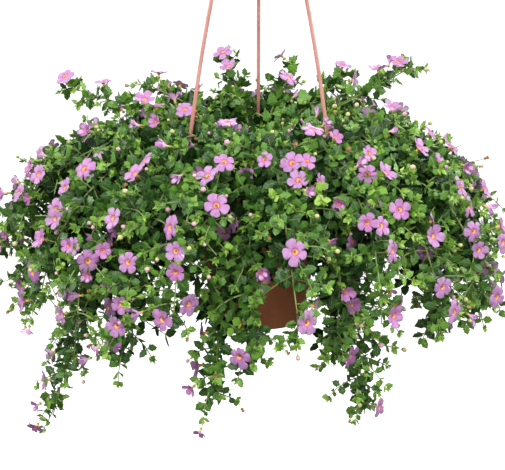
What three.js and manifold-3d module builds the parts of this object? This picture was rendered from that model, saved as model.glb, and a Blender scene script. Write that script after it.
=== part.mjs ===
// A trailing bacopa in its hanging pot: a moulded hanger, a tapered pot, the soil
// in it, and the leafy, flowering stems that stand in the soil and arch over the
// lip. Millimetres, +Z up. The origin is the point where the hook bears on
// whatever it hangs from. Azimuth 0 faces the front (-Y) and 90 faces +X.
import * as THREE from 'three';
import { mergeVertices } from 'three/addons/utils/BufferGeometryUtils.js';
import Module from 'manifold-3d';

const wasm = await Module();
wasm.setup();

// Hanger
const ROD_RADIUS = 2.25;
const ROD_SIDES = 6;
const HOOK_BEND_RADIUS = 10;
const HOOK_RING_ANGLES = [195, 165, 135, 105, 75, 45, 15, -15];
const HOOK_SHANK_FOOT = -42;
const HUB_TOP = -36;
const HUB_FOOT = -60;
const HUB_RADIUS = 9;
const HUB_SIDES = 9;
const ARM_TOP = -46;
const ARM_HEIGHT = 389;
const ARM_TOP_RADIUS = 5;
const ARM_BOW = 9.2;
const ARM_AZIMUTHS = [-60, 60, 180];
const CLAW_TOP = 3;
const CLAW_DROP = 13;
const CLAW_REACH = 6;
const HOOK_STEPS = 13;
const ARM_STEPS = 6;
const CLAW_STEPS = 4;
const TAB_TOP = 2;
const TAB_DROP = 7;
const TAB_REACH = 8;

// Pot and soil
const RIM_Z = ARM_TOP - ARM_HEIGHT;
const ROUND_SIDES = 24;
const LIP_RADIUS = 93;
const LIP_DEPTH = 10;
const LIP_ROUNDING = 1;
const POT_HEIGHT = 208;
const POT_BASE_RADIUS = 56;
const POT_TOP_RADIUS = 88.5;
const POT_WALL = 2;
const POT_FLOOR = 3;
const POT_FOOT_ROUNDING = 1.5;
const DRAIN_RADIUS = 5;
const DRAIN_RING = 36;
const DRAIN_COUNT = 4;
const DRAIN_SIDES = 8;
const SOIL_DROP = 14;
const CLEARANCE = 0.4;

// Stems, leaves and blooms
const SEED = 20731;
const SEED_STEP = 7919;
const ROOT_DEPTH = 10;
const ROOT_RADIUS = 1.5;
const ROOT_GAP = 0.8;
const CORE_RADIUS = 7;
const CORE_SPREAD = 1.15;
const CORE_SIDES = 3;
const TIP_CORE_RADIUS = 2.4;
const TIP_LENGTH = 4;
const SWAY = 14;
const BARE_STEPS = 3;
const LONG_TRAIL = -240;
const LONG_BEND = 0.78;
const LONG_SAG = -44;
const TIP_LEAF_SHARE = 0.6;
const SMALL_FIT = 0.9;
const BLADE_HALF_THICKNESS = 1.1;
const WAIST_SHARE = 0.16;
const DROOP = 0.55;
const TOOTH_LIFT = 0.18;
const FACE_TURN = 0.75;
const BLOOM_RADIUS = 12;
const BLOOM_REACH = 22;
const BLOOM_TUBE = 5;
const BLOOM_TRIES = 12;
const PETAL_COUNT = 5;
const PETAL_HALF_ANGLE = 19;
const PETAL_LIFT = 1.2;
const NOTCH_RADIUS = 4.8;
const NOTCH_DROP = 0.6;
const THROAT_DEPTH = 2.4;
const STALK_RADIUS = 1.2;

const radians = THREE.MathUtils.degToRad;
const vec = (x, y, z) => new THREE.Vector3(x, y, z);

// A point at an azimuth and a distance from the pot's axis, at a height above the lip.
function around(azimuth, radius, height) {
  const a = radians(azimuth);
  return vec(radius * Math.sin(a), -radius * Math.cos(a), RIM_Z + height);
}

// Repeatable draws between 0 and 1.
function drawsFrom(seed) {
  let state = seed;
  return () => {
    state = (state * 1664525 + 1013904223) % 4294967296;
    return state / 4294967296;
  };
}

// A closed geometry as a solid that can be joined and cut, and back again.
function solidOf(geometry) {
  const bare = geometry.clone();
  bare.deleteAttribute('normal');
  bare.deleteAttribute('uv');
  const merged = mergeVertices(bare, 1e-4);
  return new wasm.Manifold(new wasm.Mesh({
    numProp: 3,
    vertProperties: Float32Array.from(merged.attributes.position.array),
    triVerts: Uint32Array.from(merged.index.array),
  }));
}

function geometryOf(solid) {
  const mesh = solid.getMesh();
  const geometry = new THREE.BufferGeometry();
  geometry.setAttribute('position', new THREE.BufferAttribute(mesh.vertProperties, 3));
  geometry.setIndex(new THREE.BufferAttribute(mesh.triVerts, 1));
  geometry.computeVertexNormals();
  return geometry;
}

// A rod along a curve. A full arc is cut into twice as many sides as its segments.
function rod(curve, steps, radius) {
  const section = new THREE.Shape();
  section.absarc(0, 0, radius, 0, 2 * Math.PI);
  return solidOf(new THREE.ExtrudeGeometry(section, {
    steps, extrudePath: curve, curveSegments: ROD_SIDES / 2, bevelEnabled: false,
  }));
}

// A turned solid about the Z axis from a profile of [radius, height] points.
function turned(profile, sides = ROUND_SIDES) {
  const points = profile.map(([r, z]) => new THREE.Vector2(r, z));
  const lathe = new THREE.LatheGeometry(points, sides);
  lathe.rotateX(Math.PI / 2);
  return solidOf(lathe);
}

// The hook is a ring with its mouth open on the lower right. The arms bow outwards
// between the hub and the lip, and each ends in a claw under the lip and a tab.
function hookCurve() {
  const bend = HOOK_BEND_RADIUS + ROD_RADIUS;
  const points = [vec(0, 0, HOOK_SHANK_FOOT), vec(-1, 0, -30), vec(-7, 0, -21.5)];
  for (const angle of HOOK_RING_ANGLES) {
    const a = radians(angle);
    points.push(vec(bend * Math.cos(a), 0, bend * Math.sin(a) - HOOK_BEND_RADIUS));
  }
  return new THREE.CatmullRomCurve3(points);
}

const ARM_FOOT_RADIUS = LIP_RADIUS + ROD_RADIUS + CLEARANCE;

function armRadius(share) {
  const straight = ARM_TOP_RADIUS + (ARM_FOOT_RADIUS - ARM_TOP_RADIUS) * share;
  return straight + ARM_BOW * 4 * share * (1 - share);
}

function armPoint(azimuth, share) {
  return around(azimuth, armRadius(share), ARM_HEIGHT * (1 - share));
}

function armCurve(azimuth) {
  const points = [];
  for (let i = 0; i <= ARM_STEPS; i += 1) points.push(armPoint(azimuth, i / ARM_STEPS));
  return new THREE.CatmullRomCurve3(points, false, 'centripetal');
}

function clawCurve(azimuth) {
  return new THREE.CatmullRomCurve3([
    around(azimuth, ARM_FOOT_RADIUS, CLAW_TOP),
    around(azimuth, ARM_FOOT_RADIUS, -CLAW_DROP + 5),
    around(azimuth, ARM_FOOT_RADIUS - 0.2 * CLAW_REACH, -CLAW_DROP + 0.8),
    around(azimuth, ARM_FOOT_RADIUS - CLAW_REACH, -CLAW_DROP),
  ], false, 'centripetal');
}

function tabCurve(azimuth) {
  const top = around(azimuth, ARM_FOOT_RADIUS, TAB_TOP);
  return new THREE.LineCurve3(top, around(azimuth, ARM_FOOT_RADIUS + TAB_REACH, -TAB_DROP));
}

function hanger() {
  let solid = turned([
    [0, HUB_FOOT], [HUB_RADIUS * 0.7, HUB_FOOT + 2], [HUB_RADIUS, HUB_FOOT + 8],
    [HUB_RADIUS * 0.6, HUB_TOP - 4], [ROD_RADIUS + 1, HUB_TOP], [0, HUB_TOP],
  ], HUB_SIDES);
  solid = solid.add(rod(hookCurve(), HOOK_STEPS, ROD_RADIUS));
  for (const azimuth of ARM_AZIMUTHS) {
    solid = solid.add(rod(armCurve(azimuth), ARM_STEPS, ROD_RADIUS));
    solid = solid.add(rod(clawCurve(azimuth), CLAW_STEPS, ROD_RADIUS * 0.95));
    solid = solid.add(rod(tabCurve(azimuth), 1, ROD_RADIUS * 0.8));
  }
  return geometryOf(solid);
}

// The pot tapers down to a flat base with drainage holes, and its lip is thick.
const wallRadius = (height) => THREE.MathUtils.mapLinear(
  height, -POT_HEIGHT, -LIP_DEPTH, POT_BASE_RADIUS, POT_TOP_RADIUS);

function pot() {
  const floor = -POT_HEIGHT + POT_FLOOR;
  const footTop = POT_FOOT_ROUNDING - POT_HEIGHT;
  let solid = turned([
    [0, RIM_Z - POT_HEIGHT], [POT_BASE_RADIUS - POT_FOOT_ROUNDING, RIM_Z - POT_HEIGHT],
    [wallRadius(footTop), RIM_Z + footTop],
    [POT_TOP_RADIUS, RIM_Z - LIP_DEPTH], [LIP_RADIUS, RIM_Z - LIP_DEPTH],
    [LIP_RADIUS, RIM_Z - LIP_ROUNDING], [LIP_RADIUS - LIP_ROUNDING, RIM_Z],
    [POT_TOP_RADIUS - POT_WALL + LIP_ROUNDING, RIM_Z],
    [POT_TOP_RADIUS - POT_WALL, RIM_Z - LIP_DEPTH],
    [wallRadius(floor) - POT_WALL, RIM_Z + floor], [0, RIM_Z + floor],
  ]);
  for (let i = 0; i < DRAIN_COUNT; i += 1) {
    const drain = new THREE.CylinderGeometry(DRAIN_RADIUS, DRAIN_RADIUS, 4 * POT_FLOOR, DRAIN_SIDES);
    const place = around((i + 0.5) * 360 / DRAIN_COUNT, DRAIN_RING, -POT_HEIGHT);
    drain.rotateX(Math.PI / 2).translate(place.x, place.y, place.z);
    solid = solid.subtract(solidOf(drain));
  }
  return geometryOf(solid);
}

const MOUND_DROP = 70;
const MOUND_MIDDLE = vec(0, 0, RIM_Z - MOUND_DROP);

// Leafy stems in four storeys. A storey has the ring that its stems stand on, its
// leaf pairs, their spacing and leaf length, its blooms, the height that its stems
// rise to and how much more behind, and the reach and height of the shoulder that
// they bend over. Each tip is an azimuth, a reach from the pot's axis and a height
// above the lip, and for a stem that hangs askew the azimuth from there to its root.
// The tips at the mound's edge and below it are taken from the photo, the others
// fill the round evenly.
const STOREYS = [
  {
    name: 'trailing_stem', rootRing: 66, pairs: 4, spacing: 58, leaf: 43,
    blooms: 3, arch: 79, archBehind: 0,
    shoulder: (reach, height, back) => (
      height < LONG_TRAIL ? [LONG_BEND * reach, LONG_SAG] : [reach + 10, 16 + 11 * back]),
    tips: [
      [-4, 205, -205], [-16, 200, -250, 6], [-42, 222, -218], [-67, 262, -296, 16], [-89, 278, -200],
      [-111, 270, -190], [-135, 262, -235], [-162, 256, -200], [171, 256, -245], [144, 256, -205],
      [119, 268, -235], [97, 266, -200], [76, 262, -190], [56, 235, -190], [35, 205, -272],
      [24, 200, -212],
    ],
  },
  {
    name: 'hanging_stem', rootRing: 52, pairs: 3, spacing: 62, leaf: 43,
    blooms: 4, arch: 50, archBehind: 26,
    shoulder: (reach, height, back) => [0.93 * reach, 18 + 12 * back],
    tips: [
      [9, 258, -150], [-20, 260, -150], [-33, 266, -170], [-46, 272, -165], [-60, 284, -160, 9],
      [-80, 300, -118], [-101, 306, -100], [-124, 290, -150], [-149, 278, -165], [-175, 270, -150],
      [157, 276, -160], [131, 288, -150], [107, 290, -140], [86, 284, -120], [66, 284, -165],
      [47, 268, -160], [29, 262, -150],
    ],
  },
  {
    name: 'shoulder_stem', rootRing: 34, pairs: 3, spacing: 52, leaf: 38,
    blooms: 4, arch: 38, archBehind: 24,
    shoulder: (reach, height, back) => [0.78 * reach, 24 + 50 * back],
    tips: [
      [-12, 224, -58], [-38, 236, -62], [-64, 250, -66], [-94, 252, -66], [-117, 242, -54],
      [-141, 236, -18], [-168, 218, -4], [166, 220, -8], [142, 238, -20], [116, 252, -42],
      [92, 260, -56], [68, 250, -62], [40, 238, -64], [14, 226, -62],
    ],
  },
  {
    name: 'crown_stem', rootRing: 20, pairs: 3, spacing: 40, leaf: 33,
    blooms: 2, arch: 30, archBehind: 12,
    shoulder: (reach, height) => [0.7 * reach, 0.5 * height + 10],
    tips: [
      [-106, 250, 74], [-131, 200, 74], [-163, 142, 110], [163, 160, 96], [139, 180, 90],
      [112, 212, 100], [78, 176, 40], [27, 132, 20], [-22, 110, 26], [-84, 156, 52],
    ],
  },
];

// A stem rises from its hole, bends over and droops to its tip, swaying a little
// out of its upright plane. Arches are lower at the front than at the back.
const STEM_START = 2 - SOIL_DROP;
const rootAzimuth = ([azimuth, , , askew = 0]) => azimuth + askew;

function stemCurve(storey, tip, draw) {
  const [azimuth, reach, height] = tip;
  const back = (1 - Math.cos(radians(azimuth))) / 2;
  const [shoulderReach, shoulderRise] = storey.shoulder(reach, height, back);
  const lowSway = 0.4 * SWAY * (draw() - 0.5);
  const highSway = SWAY * (draw() - 0.5);
  const middle = (azimuth + rootAzimuth(tip)) / 2;
  const arch = storey.arch + storey.archBehind * back;
  return new THREE.CubicBezierCurve3(
    around(rootAzimuth(tip), storey.rootRing, STEM_START),
    around(rootAzimuth(tip) + lowSway, 1.3 * storey.rootRing + 6, arch),
    around(middle + highSway, shoulderReach, shoulderRise),
    around(azimuth, reach, height));
}

// The joints of a stem: the root's foot, the bare part, and then one joint at each
// leaf pair, spaced back from the last pair at the tip.
function stemJoints(storey, tip, draw) {
  const curve = stemCurve(storey, tip, draw);
  const length = curve.getLength();
  const pairs = storey.pairs + (tip[2] < LONG_TRAIL ? 1 : 0);
  const spacing = Math.min(storey.spacing, length / (pairs + 1));
  const bareLength = length - spacing * (pairs - 0.7);
  const foot = around(rootAzimuth(tip), storey.rootRing, CLEARANCE - SOIL_DROP - ROOT_DEPTH);
  const joints = [{ at: foot, bare: true }];
  for (let i = 0; i < BARE_STEPS; i += 1) {
    joints.push({ at: curve.getPointAt((i / BARE_STEPS) * bareLength / length), bare: true });
  }
  for (let i = 0; i < pairs; i += 1) {
    const back = spacing * (pairs - 1 - i);
    joints.push({ at: curve.getPointAt(1 - back / length), bare: false });
  }
  const flat = vec(Math.cos(radians(tip[0])), Math.sin(radians(tip[0])), 0);
  joints.forEach((joint, i) => {
    const before = joints[Math.max(i - 1, 0)].at;
    const after = joints[Math.min(i + 1, joints.length - 1)].at;
    joint.along = after.clone().sub(before).normalize();
    joint.across = flat.clone().addScaledVector(joint.along, -flat.dot(joint.along)).normalize();
    joint.up = joint.along.clone().cross(joint.across).normalize();
    const out = joint.at.clone().sub(MOUND_MIDDLE);
    joint.outAngle = Math.atan2(out.dot(joint.up), out.dot(joint.across));
    joint.turnWay = joint.along.z > -0.2 ? 1 : -1;
  });
  return joints;
}

// The room that each piece takes is kept as balls in a grid of cells. isClear tells
// whether new balls would reach into another piece's. No two balls reach further
// than a cell.
const CELL = 38;
const book = new Map();
const cellKey = (x, y, z) => `${x},${y},${z}`;

function enter(owner, balls) {
  for (const ball of balls) {
    const key = cellKey(...ball.at.toArray().map((v) => Math.floor(v / CELL)));
    if (!book.has(key)) book.set(key, []);
    book.get(key).push({ owner, ...ball });
  }
}

function isClear(owner, balls, own = () => false) {
  for (const ball of balls) {
    const [cx, cy, cz] = ball.at.toArray().map((v) => Math.floor(v / CELL));
    for (let x = cx - 1; x <= cx + 1; x += 1) {
      for (let y = cy - 1; y <= cy + 1; y += 1) {
        for (let z = cz - 1; z <= cz + 1; z += 1) {
          for (const other of book.get(cellKey(x, y, z)) ?? []) {
            if (other.owner === owner && !own(other)) continue;
            if (ball.at.distanceTo(other.at) < ball.radius + other.radius) return false;
          }
        }
      }
    }
  }
  return true;
}

// Balls strung from one point to another.
function strung(from, to, radius, gap, kind) {
  const count = Math.max(1, Math.ceil(from.distanceTo(to) / gap));
  const balls = [];
  for (let i = 0; i <= count; i += 1) {
    balls.push({ at: from.clone().lerp(to, i / count), radius, kind });
  }
  return balls;
}

// Rings of points along a stem, each point with its angle about the stem.
function ringAt(joint, offset, polar) {
  return polar.map(([angle, radius, rise = 0]) => ({
    angle: THREE.MathUtils.euclideanModulo(angle, 2 * Math.PI),
    at: joint.at.clone()
      .addScaledVector(joint.across, radius * Math.cos(angle))
      .addScaledVector(joint.up, radius * Math.sin(angle))
      .addScaledVector(joint.along, offset + rise),
  })).sort((a, b) => a.angle - b.angle);
}

// Joins rings of any counts of points into one closed skin, triangle by triangle
// in order of angle. A ring of one point is an end.
function skin(rings) {
  const positions = [];
  const index = [];
  const placed = rings.map((ring) => ring.map((point) => {
    positions.push(...point.at.toArray());
    return { angle: point.angle, id: positions.length / 3 - 1 };
  }));
  for (let k = 0; k + 1 < placed.length; k += 1) {
    const low = placed[k];
    const high = placed[k + 1];
    if (low.length === 1) {
      high.forEach((p, i) => index.push(low[0].id, high[(i + 1) % high.length].id, p.id));
      continue;
    }
    if (high.length === 1) {
      low.forEach((p, i) => index.push(p.id, low[(i + 1) % low.length].id, high[0].id));
      continue;
    }
    const turn = (ring, i) => ring[i % ring.length].angle + (i >= ring.length ? 2 * Math.PI : 0);
    let i = 0;
    let j = 0;
    while (i < low.length || j < high.length) {
      const a = low[i % low.length].id;
      const b = high[j % high.length].id;
      const stepLow = j >= high.length || (i < low.length && turn(low, i + 1) <= turn(high, j + 1));
      if (stepLow) {
        index.push(a, low[(i + 1) % low.length].id, b);
        i += 1;
      } else {
        index.push(a, high[(j + 1) % high.length].id, b);
        j += 1;
      }
    }
  }
  const geometry = new THREE.BufferGeometry();
  geometry.setAttribute('position', new THREE.Float32BufferAttribute(positions, 3));
  geometry.setIndex(index);
  return geometry;
}

// A pair of opposite toothed leaves: the outline from one tip round to the other
// and back, narrow at the waist where the stem passes. Small pairs have fewer teeth.
// Blades lean forward, droop at their tips, lift their teeth, and turn their faces
// out of the mound.
const LEAF_HALF = [[1, 0], [0.76, 0.27], [0.57, 0.27], [0.42, 0.41]];
const SMALL_HALF = [[1, 0], [0.62, 0.25], [0.45, 0.41]];

// A point of a blade, x along it and y across it, as its angle and distance about
// the stem and its rise along it. The pair turns about the line across the way out.
function bladePoint(joint, leaf, x, y, least = 0) {
  const along = Math.abs(x);
  const forward = leaf.lean * along * (1 - DROOP * along / leaf.length) + TOOTH_LIFT * Math.abs(y);
  const angle = Math.atan2(y, x) + leaf.roll - joint.outAngle;
  const out = Math.hypot(x, y) * Math.cos(angle);
  const side = Math.hypot(x, y) * Math.sin(angle);
  const flat = out * Math.cos(FACE_TURN);
  return [
    Math.atan2(side, flat) + joint.outAngle, Math.max(least, Math.hypot(side, flat)),
    forward - joint.turnWay * out * Math.sin(FACE_TURN),
  ];
}

function leafPair(joint, leaf) {
  const waist = Math.max(1.3 * joint.core, WAIST_SHARE * leaf.length);
  const points = [];
  for (const side of [1, -1]) {
    for (const [x, y] of leaf.small ? SMALL_HALF : LEAF_HALF) {
      points.push([side * x * leaf.length, y * leaf.length]);
      if (y > 0) points.push([side * x * leaf.length, -y * leaf.length]);
    }
    points.push([0, side * waist]);
  }
  return points.map(([x, y]) => bladePoint(joint, leaf, x, y, 1.25 * joint.core));
}

function leafBalls(joint, leaf) {
  const balls = [];
  for (const side of [1, -1]) {
    for (const [share, radius] of [[0.45, 0.36], [0.72, 0.26], [0.94, 0.1]]) {
      const [point] = ringAt(joint, 0, [bladePoint(joint, leaf, side * share * leaf.length, 0)]);
      balls.push({ at: point.at, radius: radius * leaf.length + 0.6, kind: 'leaf' });
    }
  }
  return balls;
}

// A bloom: a thin stalk and tube that widen into five rounded petals round a
// sunken throat. It grows from a point inside the stem.
function bloomFrame(root, facing) {
  const across = vec(facing.y, -facing.x, 0);
  if (across.length() < 0.05) across.set(1, 0, 0);
  across.normalize();
  return {
    at: root, along: facing, across, up: facing.clone().cross(across).normalize(),
  };
}

function bloomGeometry({ root, facing, roll }) {
  const frame = bloomFrame(root, facing);
  const half = radians(PETAL_HALF_ANGLE);
  const petals = [];
  for (let i = 0; i < PETAL_COUNT; i += 1) {
    const middle = roll + 2 * Math.PI * i / PETAL_COUNT;
    petals.push([middle - half, BLOOM_RADIUS, PETAL_LIFT], [middle + half, BLOOM_RADIUS, PETAL_LIFT]);
    petals.push([middle + Math.PI / PETAL_COUNT, NOTCH_RADIUS, -NOTCH_DROP]);
  }
  const stalk = [0, 1, 2].map((i) => [roll + radians(120 * i), STALK_RADIUS]);
  return skin([
    [{ angle: 0, at: root }],
    ringAt(frame, BLOOM_REACH - BLOOM_TUBE, stalk),
    ringAt(frame, BLOOM_REACH, petals),
    ringAt(frame, BLOOM_REACH - THROAT_DEPTH, [[0, 0]]),
  ]);
}

function bloomBalls({ root, facing, roll }) {
  const frame = bloomFrame(root, facing);
  const middle = root.clone().addScaledVector(facing, BLOOM_REACH - 2);
  const balls = [{ at: middle, radius: BLOOM_RADIUS / 3, kind: 'bloom' }];
  for (let i = 0; i < PETAL_COUNT; i += 1) {
    const angle = roll + 2 * Math.PI * i / PETAL_COUNT;
    const [point] = ringAt(frame, BLOOM_REACH, [[angle, 0.72 * BLOOM_RADIUS, 1]]);
    balls.push({ at: point.at, radius: 0.38 * BLOOM_RADIUS, kind: 'bloom' });
  }
  return balls;
}

// The stems are set out first, so that leaves and blooms keep clear of them all.
const stems = [];
for (const storey of STOREYS) {
  storey.tips.forEach((tip, i) => {
    const number = String(i + 1).padStart(2, '0');
    const draw = drawsFrom(SEED + SEED_STEP * stems.length);
    stems.push({
      name: `${storey.name}_${number}`, storey, tip, draw, joints: stemJoints(storey, tip, draw),
    });
  });
}

for (const azimuth of ARM_AZIMUTHS) {
  const arm = armCurve(azimuth).getPoints(40);
  enter('hanger', arm.map((at) => ({ at, radius: ROD_RADIUS + 3, kind: 'rod' })));
  const claw = [around(azimuth, ARM_FOOT_RADIUS, TAB_TOP), around(azimuth, ARM_FOOT_RADIUS + 2, -CLAW_DROP)];
  enter('hanger', strung(...claw, 7, 4, 'rod'));
}
for (let azimuth = 0; azimuth < 360; azimuth += 5) {
  const wall = [around(azimuth, LIP_RADIUS - 4, -5), around(azimuth, POT_BASE_RADIUS + 4, -POT_HEIGHT)];
  enter('pot', strung(...wall, 6, 8, 'wall'));
}

// A stem thickens to a core of crowded small leaves, but never past half the way
// to the next stem.
function stemBalls(stem) {
  const balls = [];
  for (let i = 0; i + 1 < stem.joints.length; i += 1) {
    balls.push(...strung(stem.joints[i].at, stem.joints[i + 1].at, 0, 4, 'core'));
  }
  return balls;
}

const axes = stems.map((stem) => stemBalls(stem).map((ball) => ball.at));

function roomNear(owner, joints, i) {
  let nearest = Infinity;
  for (const share of [-0.9, -0.6, -0.3, 0, 0.3, 0.6, 0.9]) {
    const next = joints[THREE.MathUtils.clamp(i + Math.sign(share), 0, joints.length - 1)].at;
    const point = joints[i].at.clone().lerp(next, Math.abs(share));
    axes.forEach((points, k) => {
      if (k === owner) return;
      for (const p of points) nearest = Math.min(nearest, p.distanceTo(point));
    });
  }
  return nearest / 2 - 1;
}

stems.forEach((stem, k) => {
  stem.joints.forEach((joint, i) => {
    if (joint.bare) {
      joint.core = ROOT_RADIUS;
      return;
    }
    const last = i === stem.joints.length - 1;
    const room = roomNear(k, stem.joints, i) / CORE_SPREAD;
    joint.core = Math.max(ROOT_RADIUS, Math.min(last ? TIP_CORE_RADIUS : CORE_RADIUS, room));
  });
  for (let i = 0; i + 1 < stem.joints.length; i += 1) {
    const thick = Math.max(stem.joints[i].core, stem.joints[i + 1].core) * CORE_SPREAD + 0.5;
    enter(k, strung(stem.joints[i].at, stem.joints[i + 1].at, thick, 5, 'core'));
  }
});

// Leaf pairs stand crosswise to each other along the stem, turned or shortened
// where a neighbour is in the way: each fit is a share of the length and a turn.
const LEAF_FITS = [[1, 0], [1, 35], [1, -35], [0.85, 0], [0.85, 60], [0.7, 20], [0.6, -20]];

const CORNERS = Array.from({ length: CORE_SIDES }, (_, n) => n);

function setLeaves(stem, k) {
  const turn = radians(360 * stem.draw());
  stem.joints.forEach((joint, i) => {
    const nudge = stem.draw();
    const size = 0.86 + 0.28 * stem.draw();
    const lean = 0.15 + 0.3 * stem.draw();
    joint.jag = CORNERS.map(() => 0.8 + 0.35 * stem.draw());
    if (joint.bare) return;
    const last = i === stem.joints.length - 1;
    const full = stem.storey.leaf * size * (last ? TIP_LEAF_SHARE : 1);
    for (const [shrink, angle] of LEAF_FITS) {
      const roll = turn + radians(90 * i + 30 * nudge + angle);
      const leaf = { length: full * shrink, roll, lean, small: last || shrink < SMALL_FIT };
      const balls = leafBalls(joint, leaf);
      if (isClear(k, balls)) {
        enter(k, balls);
        joint.leaf = leaf;
        return;
      }
    }
  });
}

// Blooms stand between leaf pairs and face away from the middle of the mound.
function setBlooms(stem, k) {
  stem.blooms = [];
  const leafy = stem.joints.filter((joint) => !joint.bare);
  const wanted = stem.storey.blooms;
  for (let n = 0; n < wanted; n += 1) {
    const place = ((n + 0.25 + 0.5 * stem.draw()) / wanted) * (leafy.length - 1);
    const tries = Array.from({ length: BLOOM_TRIES }, () => (
      [stem.draw() - 0.5, stem.draw() - 0.5, stem.draw()]));
    tries.some(([swing, slide, spin], attempt) => {
      const where = THREE.MathUtils.clamp(place + (attempt ? slide : 0), 0.12, leafy.length - 1.12);
      const segment = Math.floor(where);
      const share = THREE.MathUtils.clamp(where - segment, 0.22, 0.78);
      const root = leafy[segment].at.clone().lerp(leafy[segment + 1].at, share);
      const axis = leafy[segment + 1].at.clone().sub(leafy[segment].at).normalize();
      const outward = root.clone().sub(MOUND_MIDDLE).normalize();
      outward.addScaledVector(axis, -outward.dot(axis)).normalize();
      const facing = outward.applyAxisAngle(axis, swing * (1.2 + 0.3 * attempt));
      facing.addScaledVector(axis, 0.25).normalize();
      const bloom = { root, facing, roll: 2 * Math.PI * spin };
      const balls = bloomBalls(bloom);
      if (!isClear(k, balls, (other) => other.kind !== 'core')) return false;
      enter(k, balls);
      stem.blooms.push(bloom);
      return true;
    });
  }
}

stems.forEach(setLeaves);
stems.forEach(setBlooms);

// The stem's skin runs from its foot in the soil through every joint, and flares
// out into each pair of leaves. Blooms are then joined on.
function stemSolid(stem) {
  const rings = [];
  stem.joints.forEach((joint, i) => {
    const last = i === stem.joints.length - 1;
    if (joint.bare) {
      rings.push(ringAt(joint, 0, [0, 1, 2].map((n) => [radians(120 * n - 90), joint.core])));
      return;
    }
    const turn = joint.leaf ? joint.leaf.roll : 0;
    const core = CORNERS.map((n) => [turn + radians(360 * n / CORE_SIDES + 60), joint.core * joint.jag[n]]);
    if (!joint.leaf) {
      rings.push(ringAt(joint, 0, core));
      if (last) rings.push(ringAt(joint, TIP_LENGTH, [[0, 0]]));
      return;
    }
    rings.push(ringAt(joint, -BLADE_HALF_THICKNESS, core));
    rings.push(ringAt(joint, 0, leafPair(joint, joint.leaf)));
    rings.push(last ? ringAt(joint, TIP_LENGTH, [[0, 0]]) : ringAt(joint, BLADE_HALF_THICKNESS, core));
  });
  const foot = rings[0];
  const centre = foot.reduce((sum, p) => sum.add(p.at), vec(0, 0, 0)).divideScalar(foot.length);
  let solid = solidOf(skin([[{ angle: 0, at: centre }], ...rings]));
  for (const bloom of stem.blooms) solid = solid.add(solidOf(bloomGeometry(bloom)));
  return geometryOf(solid);
}

// Soil fills the pot to just under the lip, with a hole for each stem.
function soil() {
  const inside = (height) => wallRadius(height) - POT_WALL - CLEARANCE;
  const foot = -POT_HEIGHT + POT_FLOOR + CLEARANCE;
  let solid = turned([
    [0, RIM_Z + foot], [inside(foot) - 2, RIM_Z + foot], [inside(foot + 2), RIM_Z + foot + 2],
    [inside(-SOIL_DROP - 4), RIM_Z - SOIL_DROP - 4], [inside(-SOIL_DROP) - 4, RIM_Z - SOIL_DROP],
    [0, RIM_Z - SOIL_DROP],
  ]);
  for (const stem of stems) {
    const hole = new THREE.CylinderGeometry(
      ROOT_RADIUS + ROOT_GAP, ROOT_RADIUS + ROOT_GAP, 2 * ROOT_DEPTH, 3);
    const azimuth = rootAzimuth(stem.tip);
    const place = around(azimuth, stem.storey.rootRing, -SOIL_DROP);
    hole.rotateX(Math.PI / 2).rotateZ(radians(azimuth)).translate(place.x, place.y, place.z);
    solid = solid.subtract(solidOf(hole));
  }
  return geometryOf(solid);
}

const finish = (color, roughness) => new THREE.MeshStandardMaterial({ color, roughness, metalness: 0 });
const group = new THREE.Group();

function place(name, geometry, material) {
  const mesh = new THREE.Mesh(geometry, material);
  mesh.name = name;
  group.add(mesh);
}

place('hanger', hanger(), finish('#dc9489', 0.45));
place('pot', pot(), finish('#c27a66', 0.45));
place('soil', soil(), finish('#3b2b20', 0.95));
for (const stem of stems) place(stem.name, stemSolid(stem), finish('#5d8a35', 0.5));

export default group;
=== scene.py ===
import bpy
import numpy as np
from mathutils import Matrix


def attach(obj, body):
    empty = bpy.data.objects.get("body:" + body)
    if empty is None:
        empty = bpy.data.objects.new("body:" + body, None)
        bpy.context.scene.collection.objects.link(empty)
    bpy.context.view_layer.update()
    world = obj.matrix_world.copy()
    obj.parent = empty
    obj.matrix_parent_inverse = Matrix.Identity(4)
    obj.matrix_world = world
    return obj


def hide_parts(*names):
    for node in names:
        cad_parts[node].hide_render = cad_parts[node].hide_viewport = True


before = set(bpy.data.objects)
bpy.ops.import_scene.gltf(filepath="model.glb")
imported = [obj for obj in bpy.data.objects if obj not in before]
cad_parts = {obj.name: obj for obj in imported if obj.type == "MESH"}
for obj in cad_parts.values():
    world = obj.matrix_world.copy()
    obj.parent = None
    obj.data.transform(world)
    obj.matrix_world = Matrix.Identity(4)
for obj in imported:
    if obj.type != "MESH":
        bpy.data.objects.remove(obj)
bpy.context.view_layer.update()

# The pot: one moulded piece of brown-red plastic with a tapered wall, a thick lip that
# the hanger grips, rounded edges and four drainage holes through its flat floor.
# Down to the studio, sizes are in millimetres, with +Z up and the origin where the hook bears.
METRE = 0.001
RIM_Z = -435.0
LIP_RADIUS = 93.0
LIP_DEPTH = 10.0
POT_HEIGHT = 208.0
POT_BASE_RADIUS = 56.0
POT_TOP_RADIUS = 88.5
POT_WALL = 2.0
POT_FLOOR = 3.0
POT_SIDES = 96
EDGE_ROUNDING = 0.9
DRAIN_RADIUS = 5.0
DRAIN_RING = 36.0
DRAIN_AZIMUTHS = [45, 135, 225, 315]
DRAIN_SIDES = 24


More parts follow.
